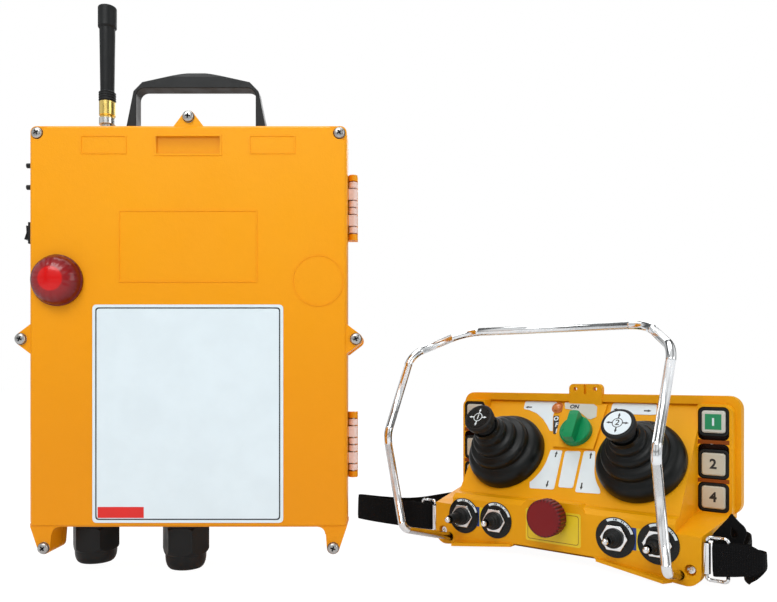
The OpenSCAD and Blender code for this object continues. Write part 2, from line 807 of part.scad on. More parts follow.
module lid_gasket() color("dimgray") on_receiver() slab(lid_back, box_front) difference() {
    polygon(case_outline(seal_in, rx_r / 2));
    polygon(case_outline(seal_in + seal_w, corner_land + seal_w));
    for (p = corner_bolts()) translate(p) circle(r = lid_screw_r + fit);
}
module lid_screws() color("silver") on_receiver() for (p = lid_bolts()) on_front(p[0], ear_step, p[1]) {
    cylinder(r = washer_r, h = washer_t);
    translate([0, 0, washer_t]) pan_screw(lid_screw_r - run, screw_len + washer_t, pan_r, pan_h);
}
module hinge_pins() color("lightgray") on_receiver() for (z = hinge_zs)
    translate([hinge_x, lid_d, z - hinge_len / 2 + fit])
        cylinder(r = hinge_pin_r, h = hinge_len - 2 * fit);

module carry_handle() color([0.12, 0.12, 0.13]) on_receiver()
    intersection() {
        slab(handle_y - handle_depth / 2, handle_y + handle_depth / 2) translate([0, rx_top]) difference() {
            polygon(concat([[-handle_w / 2, 0], [handle_w / 2, 0]],
                handle_side(1), reversed(handle_side(-1))));
            polygon(concat([[handle_leg_t - handle_w / 2, -over], [handle_w / 2 - handle_leg_t, -over]],
                [for (p = fan(handle_in_r, 0)) p + handle_inner(1)],
                [for (p = fan(handle_in_r, 90)) p + handle_inner(-1)]));
        }
        side(-handle_w, handle_w) polygon([
            for (p = rounded(handle_depth, 2 * handle_rise, handle_depth / 3)) p + [handle_y, rx_top]]);
    }
// Leg, shoulder and peak on one side, and the centre of the grip's inner corner there
function handle_side(s) = [
    [s * (handle_w / 2 - handle_lean), handle_under - handle_bar_t / 2],
    [s * (handle_w / 2 - handle_lean - handle_corner), handle_under + handle_bar_t],
    [s * handle_peak, handle_rise]];
function handle_inner(s) = [s * (handle_w / 2 - handle_leg_t - handle_in_r), handle_under - handle_in_r];

module antenna_socket() color("gainsboro") on_receiver() translate([whip_x, whip_y, rx_top]) {
    cylinder(r = socket_flange_r, h = socket_flange_h);
    cylinder(r = socket_hex_r, h = socket_hex_h + socket_flange_h, $fn = 6);
    translate([0, 0, -box_draft - rx_wall]) cylinder(r = socket_neck_r, h = socket_h + box_draft + rx_wall);
}
module antenna_plug() color("goldenrod") on_receiver()
    translate([whip_x, whip_y, rx_top + socket_h - spigot_h]) rotate_extrude() polygon([
        [socket_neck_r + run, 0], [plug_r, 0], [plug_r, spigot_h], [plug_waist_r, spigot_h + line_w],
        [plug_waist_r, spigot_h + 2 * line_w], [plug_r, spigot_h + 3 * line_w], [plug_r, plug_h + spigot_h],
        [0, plug_h + spigot_h], [0, spigot_h], [socket_neck_r + run, spigot_h]]);
module antenna_whip() color([0.13, 0.13, 0.14]) on_receiver()
    translate([whip_x, whip_y, rx_top + socket_h + plug_h]) rotate_extrude() polygon(concat(
        [[0, 0], [plug_r, 0]],
        [for (i = [1:collar_ribs], k = [1, 3]) let (z = (i - 1 + k / 4) * collar_h / collar_ribs)
            [plug_r + (k > 1 ? collar_rib : 0), z]],
        [[whip_d / 2, collar_h], [whip_d / 2 - line_w, collar_h + line_w], [whip_d / 2, whip_h - tip_h],
         [whip_d / 2 + tip_grow, whip_h - tip_h + tip_grow]],
        [for (p = fan(tip_grow, 0)) p + [whip_d / 2, whip_h - tip_grow]],
        [[0, whip_h]]));

module beacon_lens() color("crimson") on_receiver() on_front(-knock_x, 0, knock_z) {
    rotate_extrude() polygon(concat([[0, 0], [beacon_d / 2, 0], [beacon_d / 2, rx_wall]],
        [for (a = [0:10:90]) [(beacon_d / 2 - line_w) * cos(a), rx_wall + (beacon_h - rx_wall) * sin(a)]]));
    translate([0, 0, -2 * rx_wall]) cylinder(r = lamp_stem_r, h = 2 * rx_wall + over);
}

module gland_bodies() color([0.1, 0.1, 0.11]) on_receiver() for (x = gland_x) translate([x, gland_y, 0])
    difference() {
        union() {
            translate([0, 0, rx_lift - gland_flange_h]) {
                cylinder(r = gland_flange_r, h = gland_flange_h, $fn = 6);
                cylinder(d = gland_d, h = gland_flange_h + gland_inside);
            }
        }
        translate([0, 0, rx_lift - gland_flange_h - over])
            cylinder(r = gland_bore_r, h = gland_flange_h + gland_inside + 2 * over);
        translate([0, 0, rx_lift - gland_wide_down])
            cylinder(r = gland_wide_r, h = gland_wide_down + gland_inside + over);
    }
module gland_nuts() color([0.1, 0.1, 0.11]) on_receiver() for (i = [0, 1])
    translate([gland_x[i], gland_y, rx_lift * (1 - gland_reach_shares[i])]) difference() {
        nut_h = rx_lift * gland_reach_shares[i] - gland_flange_h;
        intersection() {
            cylinder(r = gland_flange_r, h = nut_h, $fn = 6);
            rotate_extrude() polygon(concat([[0, 0]],
                [for (a = [0:15:90]) [gland_mouth_r + (gland_dome_r - gland_mouth_r) * sin(a),
                                      nut_h * gland_dome_share * (1 - cos(a))]],
                [for (g = gland_step_shares)
                    [gland_dome_r + (gland_flange_r - gland_dome_r) * g[0], nut_h * g[1]]],
                [[0, nut_h]]));
        }
        translate([0, 0, -over]) cylinder(r = gland_bore_r, h = nut_h + 2 * over);
    }

module side_fittings() color([0.12, 0.12, 0.13]) on_receiver() {
    for (z = plug_zs) side_port(z) {
        cylinder(r = plug_flange_r, h = plug_flange_t);
        translate([0, 0, -rx_wall]) cylinder(r = plug_side_r, h = rx_wall + plug_side_out);
    }
    side_port(rocker_z) translate([0, 0, rocker_frame_t / 2]) difference() {
        cube([rocker_frame_h, rocker_frame_w, rocker_frame_t], center = true);
        cube([rocker_h + 2 * run, rocker_w + 2 * fit, rocker_frame_t + over], center = true);
    }
}
// A rocker with a hollow back of two slopes, held a little tilted at rest
module power_rocker() color([0.08, 0.08, 0.09]) on_receiver() side_port(rocker_z)
    translate([0, 0, rocker_pivot]) rotate([0, rocker_tilt, 0]) rotate([90, 0, 0])
        translate([0, 0, -rocker_w / 2]) linear_extrude(rocker_w) polygon([
            [-rocker_deep, -rocker_deep], [rocker_deep, -rocker_deep],
            [rocker_h / 2 - over, rocker_front - rocker_dip], [0, rocker_front - 2 * rocker_dip],
            [over - rocker_h / 2, rocker_front - rocker_dip]]);

module name_plate() color("ghostwhite") on_receiver() slab(-plate_t, 0) translate([0, plate_z])
    polygon(rounded(plate_w, plate_h, plate_r));

module circuit_board() color("darkgreen") on_receiver() difference() {
    slab(board_y, board_y + board_t) translate([0, board_z]) square([board_w, board_h], center = true);
    for (x = [-1, 1], z = [-1, 1])
        on_front(x * hole_x, board_y + board_t + over, board_z + z * hole_z)
            cylinder(r = standoff_r / 2, h = board_t + 2 * over);
}
module relays() color("royalblue") on_receiver()
    for (i = [0:relay_cols - 1], k = [0:relay_rows - 1])
        translate([(i - (relay_cols - 1) / 2) * relay_pitch_x - relay_w / 2, board_y - relay_d,
                   board_z + (k - (relay_rows - 1) / 2) * relay_pitch_z - relay_h / 2])
            cube([relay_w, relay_d, relay_h]);
module transformer() color("peru") on_receiver() translate([trafo_x, box_floor - trafo_d / 2, trafo_z]) {
    cube([trafo_w, trafo_d - 2 * coil_d, trafo_h], center = true);
    cube([coil_w, trafo_d, trafo_h - coil_d], center = true);
}
module terminal_strips() color("palegreen") on_receiver() difference() {
    slab(box_floor - strip_d, box_floor) translate([0, strip_z])
        square([strip_ways * strip_pitch, strip_h], center = true);
    for (i = [0:strip_ways - 1])
        on_front((i - (strip_ways - 1) / 2) * strip_pitch, box_floor - strip_d / 2, strip_z)
            cylinder(r = strip_screw_r, h = strip_d);
}

// Profiles of the transmitter's plateau, seen from the side
function plateau(back) = [
    [face_y, 0], [back, 0], [back, top_z], [panel_y1, top_z], [panel_y0, panel_z0],
    [face_y + ledge_cut, face_h + ledge_cut], [face_y, face_h]];
function outer_corner(s) = [s * wing_w / 2, wing_y];
function cheek_outline() = concat(
    [for (p = fan(cheek_r, 180)) p + [cheek_r - front_w / 2, cheek_r]],
    [for (p = fan(cheek_r, 270)) p + [front_w / 2 - cheek_r, cheek_r]],
    [[front_w / 2, shelf_z0], [-front_w / 2, shelf_z0]]);

module front_shell() color("orange") on_transmitter() {
    difference() {
        union() {
            side(-panel_w / 2, panel_w / 2) polygon(plateau(part_y));
            slab(face_y, face_y + cheek_t) polygon(cheek_outline());
            intersection() {
                side(-tx_w / 2, tx_w / 2) polygon([
                    [face_y, shelf_z0 - shelf_t], [wing_y, shelf_z1 - shelf_t],
                    [part_y, shelf_z1 - shelf_t], [part_y, shelf_z1], [wing_y, shelf_z1],
                    [face_y, shelf_z0]]);
                linear_extrude(tx_h) polygon([
                    [-front_w / 2, face_y], [front_w / 2, face_y], outer_corner(1), [wing_w / 2, part_y],
                    [-wing_w / 2, part_y], outer_corner(-1)]);
            }
            pair() slab(wing_y, part_y) polygon(concat(
                [[panel_w / 2, shelf_z1 - shelf_t]],
                [for (p = fan(wing_r, 270)) p + [wing_w / 2 - wing_r, shelf_z1 - shelf_t + wing_r]],
                [for (p = fan(wing_r, 0)) p + [wing_w / 2 - wing_r, top_z - wing_r]],
                [[panel_w / 2, top_z]]));
            slab(part_y - rim_t, part_y) difference() {
                translate([0, (rim_z0 + tx_h) / 2]) polygon(rounded(tx_w, tx_h - rim_z0, rim_r));
                translate([0, top_z / 2]) square([panel_w, top_z], center = true);
            }
            slab(part_y - lug_t, part_y) translate([0, tx_h - lug_r])
                polygon(rounded(lug_w, 2 * (lug_h + lug_r), lug_r));
            slab(face_y, face_y + stop_seat_d) polygon([
                [-stop_seat_w / 2, shelf_z0], [stop_seat_w / 2, shelf_z0],
                [stop_seat_w / 2, stop_seat_z - stop_seat_cut],
                [stop_seat_w / 2 - stop_seat_cut, stop_seat_z],
                [stop_seat_cut - stop_seat_w / 2, stop_seat_z],
                [-stop_seat_w / 2, stop_seat_z - stop_seat_cut]]);
            on_panel(0, 0) translate([0, 0, -tx_wall]) linear_extrude(tx_wall + mode_seat_t) polygon([
                [-mode_seat_low, mode_seat_a], [mode_seat_low, mode_seat_a],
                [mode_seat_high, panel_run - rim_t], [-mode_seat_high, panel_run - rim_t]]);
        }
        difference() {
            side(tx_wall - panel_w / 2, panel_w / 2 - tx_wall)
                polygon(inset(plateau(part_y + tx_wall + over), tx_wall));
            side(-panel_w / 2, panel_w / 2) polygon([
                [face_y, 0], [belly_y + tx_wall, 0], [belly_y + tx_wall, arch_h + tx_wall],
                [face_y, arch_h + tx_wall]]);
            for (p = case_screw_xz) on_front(p[0], part_y, p[1])
                cylinder(r = post_r, h = part_y - case_pilot_y + tx_wall);
        }
        pair() slab(wing_back_y, part_y + over) difference() {
            polygon([[panel_w / 2 + tx_wall, shelf_z1], [wing_w / 2 - tx_wall, shelf_z1],
                     [wing_w / 2 - tx_wall, top_z - wing_r], [wing_w / 2 - wing_r, top_z - tx_wall],
                     [panel_w / 2 + tx_wall, top_z - tx_wall]]);
            for (p = case_screw_xz) translate(p) circle(r = post_r);
        }
        slab(face_y - over, belly_y) polygon([
            [-foot_x, -over], [-foot_x, 0], [-foot_edge, foot_step_h], [-foot_step_x, arch_h],
            [foot_step_x, arch_h], [foot_edge, foot_step_h], [foot_x, 0], [foot_x, -over]]);
        for (s = [-1, 1]) on_panel(s * joy_x, joy_a) translate([0, 0, -tx_wall - over])
            cylinder(r = joy_hole_r, h = tx_wall + 2 * over);
        on_panel(0, mode_a) translate([0, 0, -2 * tx_wall])
            cylinder(r = mode_shaft_r + run, h = 2 * tx_wall + mode_seat_t + over);
        on_panel(lamp_x, lamp_a) translate([0, 0, -tx_wall * 2])
            cylinder(r = lamp_stem_r + fit, h = tx_wall * 3);
        for (x = toggle_xs) on_front(x, face_y + tx_wall + over, toggle_z)
            cylinder(r = toggle_r + fit, h = tx_wall + 2 * over);
        on_front(0, face_y + cheek_t, stop_z) cylinder(r = stop_hole_r, h = cheek_t + over);
        pair() for (d = pocket_drops)
            slab(wing_y - over, wing_y + pocket_deep) translate([button_x, top_z - (d[0] + d[1]) / 2])
                polygon(rounded(pocket_w, d[1] - d[0], pocket_r));
        pair() for (z = button_zs) on_front(button_x, wing_back_y + over, z)
            cylinder(r = cap_stem_r + run, h = tx_wall + 2 * over);
        pair() rod(rail_end_out(), rail_end_in(), rail_r + fit);
        pair() on_front(rail_screw_x, face_y + rail_bore_deep, rail_screw_z)
            cylinder(r = rail_bore_r, h = rail_bore_deep + over);
        pair() on_front(rail_screw_x, face_y + cheek_t + over, rail_screw_z)
            cylinder(r = rail_screw_r + fit, h = cheek_t);
        for (p = case_screw_xz) on_front(p[0], part_y + over, p[1])
            cylinder(r = case_screw_r + run, h = part_y - case_pilot_y + over);
        for (s = [-1, 1]) on_front(s * lug_hole_x, part_y + over, tx_h + lug_h / 2)
            cylinder(r = lug_hole_r, h = lug_t + 2 * over);
        slab(part_y - lug_t - over, part_y - lug_t / 2) translate([0, tx_h + lug_h])
            square([lug_slot_w, 2 * lug_h], center = true);
    }
    pair() intersection() {
        linear_extrude(arch_h + lip_t) polygon([
            [foot_edge, face_y - lip_in], [lip_x1, face_y - lip_out], [lip_x2, face_y - lip_in],
            [lip_x2, face_y + tx_wall], [foot_edge, face_y + tx_wall]]);
        slab(face_y - lip_out, face_y + tx_wall) polygon([
            [foot_edge, foot_step_h], [foot_x, 0], [foot_x, lip_t], [foot_edge, foot_step_h + lip_t]]);
    }
}

// Rail path from one end in the face to the other, and the ends of its two sockets
function rail_half() = [
    [rail_x, rail_knee_y, rail_knee_z], [rail_x, -rail_reach, rail_h * rail_mid_share],
    [rail_x, rail_shoulder_y, rail_h * rail_shoulder_share], [rail_top_x, rail_top_y, rail_h - rail_r]];
function rail_end() = [socket_x, face_y, socket_z];
function rail_dir() = unit(rail_end() - rail_half()[0]);
function rail_end_in() = rail_end() + rail_dir() * socket_deep;
function rail_end_out() = rail_end() - rail_dir() * socket_deep;
function flip_x(p) = [-p[0], p[1], p[2]];
function rail_path() = let (h = concat([rail_end_in() - rail_dir() * fit], rail_half()))
    concat(h, [for (p = reversed(h)) flip_x(p)]);
module guard_rail() color("silver") on_transmitter()
    tube(rail_path(), concat(rail_bends, reversed(rail_bends)), rail_r);
module rail_screws() color("silver") on_transmitter() pair()
    on_front(rail_screw_x, face_y + rail_bore_deep, rail_screw_z)
        pan_screw(rail_screw_r, cheek_t - rail_bore_deep + edge_cut, rail_head_r, rail_head_h);

// Both sides of the transmitter
module pair() for (s = [-1, 1]) mirror([s < 0 ? 1 : 0, 0, 0]) children();

function tub_outline(in) =
    let (l = rear_low_w / 2 - in, u = rear_w / 2 - in, z = shelf_z1 + in, t = top_z - in)
    [[-l, in], [l, in], [l, z], [u, z], [u, t - rear_r], [u - rear_r, t], [rear_r - u, t],
     [-u, t - rear_r], [-u, z], [-l, z]];
function tub_side(in) = [
    [part_y - over, in], [rear_y - rear_cut / 2, in], [rear_y - in, rear_cut / 2 + in],
    [rear_y - in, top_z - rear_drop],
    [rear_y - in - rear_cut, top_z - in], [part_y - over, top_z - in]];
module tub(in) intersection() {
    slab(part_y - (in > 0 ? over : 0), rear_y - in) polygon(tub_outline(in));
    side(-tx_w / 2, tx_w / 2) polygon(tub_side(in));
}
module rear_shell() color("orange") on_transmitter() difference() {
    union() {
        tub(0);
        slab(part_y, part_y + rim_t) translate([0, (rim_z0 + tx_h) / 2])
            polygon(rounded(tx_w, tx_h - rim_z0, rim_r));
    }
    difference() {
        tub(tx_wall);
        for (p = case_screw_xz) on_front(p[0], rear_y, p[1]) cylinder(r = post_r, h = rear_d);
        for (p = control_posts) on_front(p[0], rear_y, p[1])
            cylinder(r = post_r / 2, h = rear_y - control_y - control_t);
        slab(bay_y - tx_wall, rear_y) translate([0, battery_z])
            square([battery_w + 2 * tx_wall, battery_h + 2 * tx_wall], center = true);
    }
    for (p = case_screw_xz) {
        on_front(p[0], rear_y + over, p[1]) cylinder(r = case_head_r + fit, h = rear_d + over - case_grip);
        on_front(p[0], rear_y, p[1]) cylinder(r = case_screw_r + fit, h = rear_d + over);
    }
    slab(bay_y, rear_y + over) translate([0, battery_z]) square([battery_w, battery_h], center = true);
    slab(rear_y - cover_t, rear_y + over) translate([0, battery_z])
        polygon(rounded(battery_w + 2 * cover_in, battery_h + 2 * cover_in, cover_r));
}
module case_screws() color("silver") on_transmitter() for (p = case_screw_xz)
    translate([p[0], part_y + case_grip, p[1]]) rotate([-90, 0, 0])
        pan_screw(case_screw_r, case_grip + part_y - case_pilot_y - fit, case_head_r, case_head_h);
module battery_cover() color("orange") on_transmitter() difference() {
    slab(rear_y - cover_t, rear_y) translate([0, battery_z]) polygon(
        rounded(battery_w + 2 * (cover_in - fit), battery_h + 2 * (cover_in - fit), cover_r - fit));
    translate([0, rear_y - finger_deep, battery_z + battery_h / 4]) rotate([-90, 0, 0])
        cylinder(r = finger_r, h = finger_deep + over);
}
module battery_pack() color("slategray") on_transmitter()
    slab(bay_y + fit, rear_y - cover_t - fit) translate([0, battery_z])
        polygon(rounded(battery_w - 2 * fit, battery_h - 2 * fit, bracket_r));
module control_board() color("darkgreen") on_transmitter()
    slab(control_y, control_y + control_t) translate([0, control_z])
        square([control_w, control_h], center = true);

// Joysticks: a can under the panel, a gimbal ring on two trunnions, a lever on two pins, a knob
module on_joystick(s) on_panel(s * joy_x, joy_a) children();
module along_x() rotate([0, 90, 0]) children();
module along_y() rotate([90, 0, 0]) children();
module joystick_bases() color([0.15, 0.15, 0.16]) on_transmitter() for (s = [-1, 1]) on_joystick(s)
    difference() {
        union() {
            difference() {
                union() {
                    translate([0, 0, -tx_wall - base_flange_t])
                        cylinder(r = base_flange_r, h = base_flange_t);
                    translate([0, 0, -tx_wall - base_h]) cylinder(r = base_r, h = base_h);
                }
                translate([0, 0, -tx_wall - base_h - over])
                    cylinder(r = base_r - base_wall, h = base_h + 2 * over);
            }
            for (t = [-1, 1]) translate([t * (base_r - base_wall / 2 - boss_len / 2), 0, -pivot_drop])
                along_x() cylinder(r = boss_r, h = boss_len, center = true);
        }
        translate([0, 0, -pivot_drop]) along_x()
            cylinder(r = trunnion_r + run, h = 3 * base_r, center = true);
    }
module gimbal(s) color("silver") on_transmitter() on_joystick(s) translate([0, 0, -pivot_drop])
    difference() {
        union() {
            cylinder(r = ring_r, h = ring_h, center = true);
            along_x() cylinder(r = trunnion_r, h = 2 * (base_r - base_wall / 2), center = true);
        }
        cylinder(r = ring_bore_r, h = 2 * ring_h, center = true);
        along_y() cylinder(r = trunnion_r + run, h = 3 * ring_r, center = true);
    }
module lever(s) color("lightgray") on_transmitter() on_joystick(s) translate([0, 0, -pivot_drop]) {
    along_y() cylinder(r = hub_r, h = 2 * hub_half, center = true);
    along_y() cylinder(r = trunnion_r, h = 2 * (ring_r - pin_short), center = true);
    translate([0, 0, -rod_tail])
        cylinder(r = rod_r, h = rod_tail + pivot_drop + joy_h - knob_h + knob_socket - fit);
}
module knob(s) color([0.1, 0.1, 0.11]) on_transmitter() on_joystick(s) translate([0, 0, joy_h - knob_h])
    difference() {
        rotate_extrude() polygon(concat(
            [[0, 0]],
            [for (i = [0:knob_rings - 1], k = [0, 1, 2])
                let (z = (i + knob_ring_shares[k]) * (knob_h - knob_rim_h) / knob_rings)
                [knob_neck_r - (k == 2 ? knob_groove : 0), z]],
            [[knob_d / 2 - knob_groove, knob_h - knob_rim_h]],
            [for (p = fan(edge_cut, 0)) p + [knob_d / 2 - edge_cut, knob_h - edge_cut]],
            [[0, knob_h]]));
        translate([0, 0, -over]) cylinder(r = rod_r + run, h = knob_socket + over);
    }
module gimbal_left() gimbal(-1);
module gimbal_right() gimbal(1);
module lever_left() lever(-1);
module lever_right() lever(1);
module knob_left() knob(-1);
module knob_right() knob(1);
function boot_path() = concat(
    [for (p = boot_shares) [p[0] * boot_d / 2, p[1] * boot_top_h]],
    [for (k = collar_shares) [knob_neck_r + fit + boot_wall, k * boot_top_h]]);
module joystick_boots() color([0.1, 0.11, 0.12]) on_transmitter() for (s = [-1, 1]) on_joystick(s)
    rotate_extrude() polygon(skin(boot_path(), 0, boot_wall));

// Toggle switches: i counts from the left
module on_toggle(i) on_front(toggle_xs[i], face_y, toggle_z) children();
module toggle_dials() color([0.1, 0.1, 0.11]) on_transmitter() for (i = [0:3]) on_toggle(i) difference() {
    cylinder(d = dial_d, h = dial_t);
    translate([0, 0, -over]) cylinder(r = toggle_r + fit, h = dial_t + 2 * over);
}
module toggle_nuts() color("silver") on_transmitter() for (i = [0:3]) on_toggle(i)
    translate([0, 0, dial_t]) difference() {
        cylinder(r = nut_r, h = nut_h, $fn = 6);
        translate([0, 0, -over]) cylinder(r = toggle_r + run, h = nut_h + 2 * over);
    }
module toggle_bodies() color([0.2, 0.2, 0.22]) on_transmitter() for (i = [0:3]) on_toggle(i) difference() {
    union() {
        translate([-can_w / 2, -can_h / 2, -tx_wall - can_d]) cube([can_w, can_h, can_d]);
        translate([0, 0, -tx_wall - over]) cylinder(r = toggle_r, h = tx_wall + dial_t + nut_h + 2 * over);
    }
    translate([0, 0, tx_wall - can_d]) cylinder(r = toggle_bore_r, h = can_d + nut_h + tx_wall);
}
module toggle_boots() color([0.1, 0.1, 0.11]) on_transmitter() for (i = [0:3]) on_toggle(i)
    translate([0, 0, dial_t + nut_h]) let (h = toggle_hs[i] - dial_t - nut_h - tip_bare)
        rotate_extrude() polygon(skin([
            [boot_low_r, 0], [boot_low_r, h * fold_shares[0]], [boot_bulge_r, h * fold_shares[1]],
            [boot_bulge_r, h * fold_shares[2]], [boot_up_r + line_w, h * fold_shares[3]],
            [boot_up_r, h]], 0, line_w));
module toggle_lever(i) color("whitesmoke") on_transmitter() on_toggle(i) {
    translate([0, 0, toggle_pivot]) sphere(r = toggle_ball_r);
    translate([0, 0, toggle_pivot - toggle_tail]) cylinder(r = toggle_tail_r, h = toggle_tail);
    translate([0, 0, toggle_pivot]) cylinder(r = toggle_rod_r, h = toggle_hs[i] - toggle_tip_h);
    translate([0, 0, toggle_hs[i] - toggle_tip_h]) rotate_extrude() polygon(concat(
        [[0, 0], [toggle_rod_r, 0]],
        [for (a = [-30:20:90]) toggle_tip_r * [cos(a), sin(a)] + [0, toggle_tip_h - toggle_tip_r]]));
}
module toggle_lever_1() toggle_lever(0);
module toggle_lever_2() toggle_lever(1);
module toggle_lever_3() toggle_lever(2);
module toggle_lever_4() toggle_lever(3);

// Stop button: head on a spigot, stem in a collar
module stop_head() color("darkred") on_transmitter() on_front(0, stop_back_y, stop_z) difference() {
    rotate_extrude() polygon(concat([[0, 0], [stop_d / 2 - line_w, 0], [stop_d / 2, line_w]],
        [for (p = fan(stop_edge, 0)) p + [stop_d / 2 - stop_edge, stop_head_h - stop_edge]],
        [[0, stop_head_h - stop_dish]]));
    translate([0, 0, -over]) cylinder(r = stop_spigot_r + run, h = stop_spigot_h + over + fit);
    for (i = [0:stop_ribs - 1]) rotate([0, 0, 360 * i / stop_ribs])
        translate([stop_d / 2 + stop_rib_r / 2, 0, -over])
            cylinder(r = stop_rib_r, h = stop_head_h - stop_edge, $fn = 16);
}
module stop_stem() color("gray") on_transmitter() on_front(0, stop_back_y, stop_z) {
    translate([0, 0, stop_back_y - face_y - stop_inside])
        cylinder(r = stop_stem_r, h = stop_inside + face_y - stop_back_y);
    translate([0, 0, -over]) cylinder(r = stop_spigot_r, h = stop_spigot_h + over);
}
module stop_collar() color([0.15, 0.15, 0.16]) on_transmitter() on_front(0, face_y, stop_z) difference() {
    union() {
        cylinder(r = stop_collar_r, h = stop_collar_t);
        translate([0, 0, -stop_barrel]) cylinder(r = stop_hole_r - fit, h = stop_barrel + over);
    }
    translate([0, 0, -stop_barrel - over])
        cylinder(r = stop_stem_r + run, h = stop_barrel + stop_collar_t + 2 * over);
}

module mode_knob() color("seagreen") on_transmitter() on_panel(0, mode_a)
    translate([0, 0, mode_seat_t + fit]) {
    rotate_extrude() polygon([[0, 0], [mode_d / 2, 0], [mode_d / 2, mode_skirt_h - over],
                              [mode_d / 2 - over, mode_skirt_h], [0, mode_skirt_h]]);
    intersection() {
        cylinder(d = mode_d - over, h = mode_skirt_h + mode_bar_h);
        side(-mode_bar_w / 2, mode_bar_w / 2) polygon([
            [-mode_d, 0], [mode_d, 0], [mode_d, mode_skirt_h + mode_bar_h - edge_cut],
            [mode_d / 3, mode_skirt_h + mode_bar_h], [-mode_d / 3, mode_skirt_h + mode_bar_h],
            [-mode_d, mode_skirt_h + mode_bar_h - edge_cut]]);
    }
    translate([0, 0, -mode_shaft_in]) cylinder(r = mode_shaft_r, h = mode_shaft_in + over);
}
module indicator_lens() color("darkorange") on_transmitter() on_panel(lamp_x, lamp_a) {
    rotate_extrude() polygon(concat([[0, 0]], [for (a = [0:15:90]) [lamp_r * cos(a), lamp_h * sin(a)]]));
    translate([0, 0, -2 * tx_wall]) cylinder(r = lamp_stem_r, h = 2 * tx_wall + line_w);
}

// Push-buttons: 1 to 3 down the left wing, 4 to 6 down the right wing
module button_bezels() color([0.1, 0.1, 0.11]) on_transmitter() for (s = [-1, 1], z = button_zs)
    slab(wing_y + pocket_deep - bezel_t, wing_y + pocket_deep) translate([s * button_x, z]) difference() {
        polygon(rounded(pocket_w - 2 * fit, pocket_w - 2 * fit, pocket_r - fit));
        polygon(rounded(cap_w + 2 * fit, cap_w + 2 * fit, cap_r + fit));
    }
module button(i) on_transmitter()
    on_front((i < 3 ? -1 : 1) * button_x, wing_y + cap_t - cap_out, button_zs[i % 3]) {
        linear_extrude(cap_t - cap_edge) polygon(rounded(cap_w, cap_w, cap_r));
        linear_extrude(cap_t)
            polygon(rounded(cap_w - 2 * cap_edge, cap_w - 2 * cap_edge, cap_r - cap_edge));
        translate([0, 0, -cap_stem_h]) cylinder(r = cap_stem_r, h = cap_stem_h + over);
    }
module button_1() color("ivory") button(0);
module button_2() color("ivory") button(1);
module button_3() color("ivory") button(2);
module button_4() color("ivory") button(3);
module button_5() color("ivory") button(4);
module button_6() color("ivory") button(5);

module panel_label(shares, h) on_panel(0, 0) translate([0, 0, h]) linear_extrude(label_t)
    polygon([for (p = shares) [p[0] * joy_x, p[1] * panel_run]]);
module legend_plates() color("ghostwhite") on_transmitter() {
    for (s = strip_shares) panel_label(s, 0);
    for (s = top_shares) panel_label(s, 0);
    panel_label(on_shares, mode_seat_t);
    on_front(0, face_y, toggle_z + over) linear_extrude(label_t) difference() {
        polygon(rounded(stop_plate_w, stop_plate_h, line_w * 2));
        translate([0, stop_z - toggle_z - over]) circle(r = stop_collar_r + fit);
    }
    for (s = [-1, 1]) on_front(s * (outer_pitch + inner_pitch) / 4, face_y, toggle_z)
        linear_extrude(dial_t / 2) difference() {
            square([mini_w, mini_h], center = true);
            for (t = [-1, 1]) translate([t * (outer_pitch - inner_pitch) / 4, 0])
                circle(d = dial_d + 2 * fit);
        }
}

// Strap hardware: a rolled bracket and a wire loop on each side, and the belt through them
module strap_brackets() color("silver") on_transmitter() pair() translate([0, 0, web_z - bracket_h / 2])
    difference() {
        union() {
            translate([bracket_x, bracket_y, 0]) cylinder(r = bracket_r, h = bracket_h);
            translate([front_w / 2, bracket_y, 0]) cube([bracket_t, bracket_len, bracket_h]);
        }
        translate([bracket_x, bracket_y, -over]) cylinder(r = loop_wire_r + run, h = bracket_h + 2 * over);
    }
module strap_loop(s) color("silver") on_transmitter() translate([s * bracket_x, bracket_y, web_z])
    tube([[0, 0, 0], [0, 0, loop_h / 2], [s * loop_reach, 0, loop_h / 2], [s * loop_reach, 0, -loop_h / 2],
          [0, 0, -loop_h / 2], [0, 0, 0]], [for (i = [1:4]) loop_bend], loop_wire_r);
module strap_loop_left() strap_loop(-1);
module strap_loop_right() strap_loop(1);
function belt_points(shares) = [for (p = shares) [p[0] * tx_w / 2, -p[1] * face_y]];
// The end of the webbing sewn round a loop, from its short leg to the long one
function belt_fold(s) = [
    [s * (wrap_x + loop_reach), bracket_y + wrap_r - fit], [s * (wrap_x + wrap_r), bracket_y + wrap_r],
    for (a = [90:-30:-90])
        [s * (wrap_x - fold_in - wrap_r * cos(a)), bracket_y + wrap_r * sin(a)],
    [s * (wrap_x + wrap_r), bracket_y - wrap_r], [s * (wrap_x + loop_reach), bracket_y - wrap_r]];
function belt_path() = concat(belt_fold(-1), belt_points(belt_left_shares), belt_points(belt_back_shares),
                              belt_points(belt_right_shares), reversed(belt_fold(1)));
module waist_belt() color([0.1, 0.1, 0.11]) on_transmitter() translate([0, 0, web_low])
    linear_extrude(web_w) polygon(skin(belt_path(), -web_t / 2, web_t / 2));

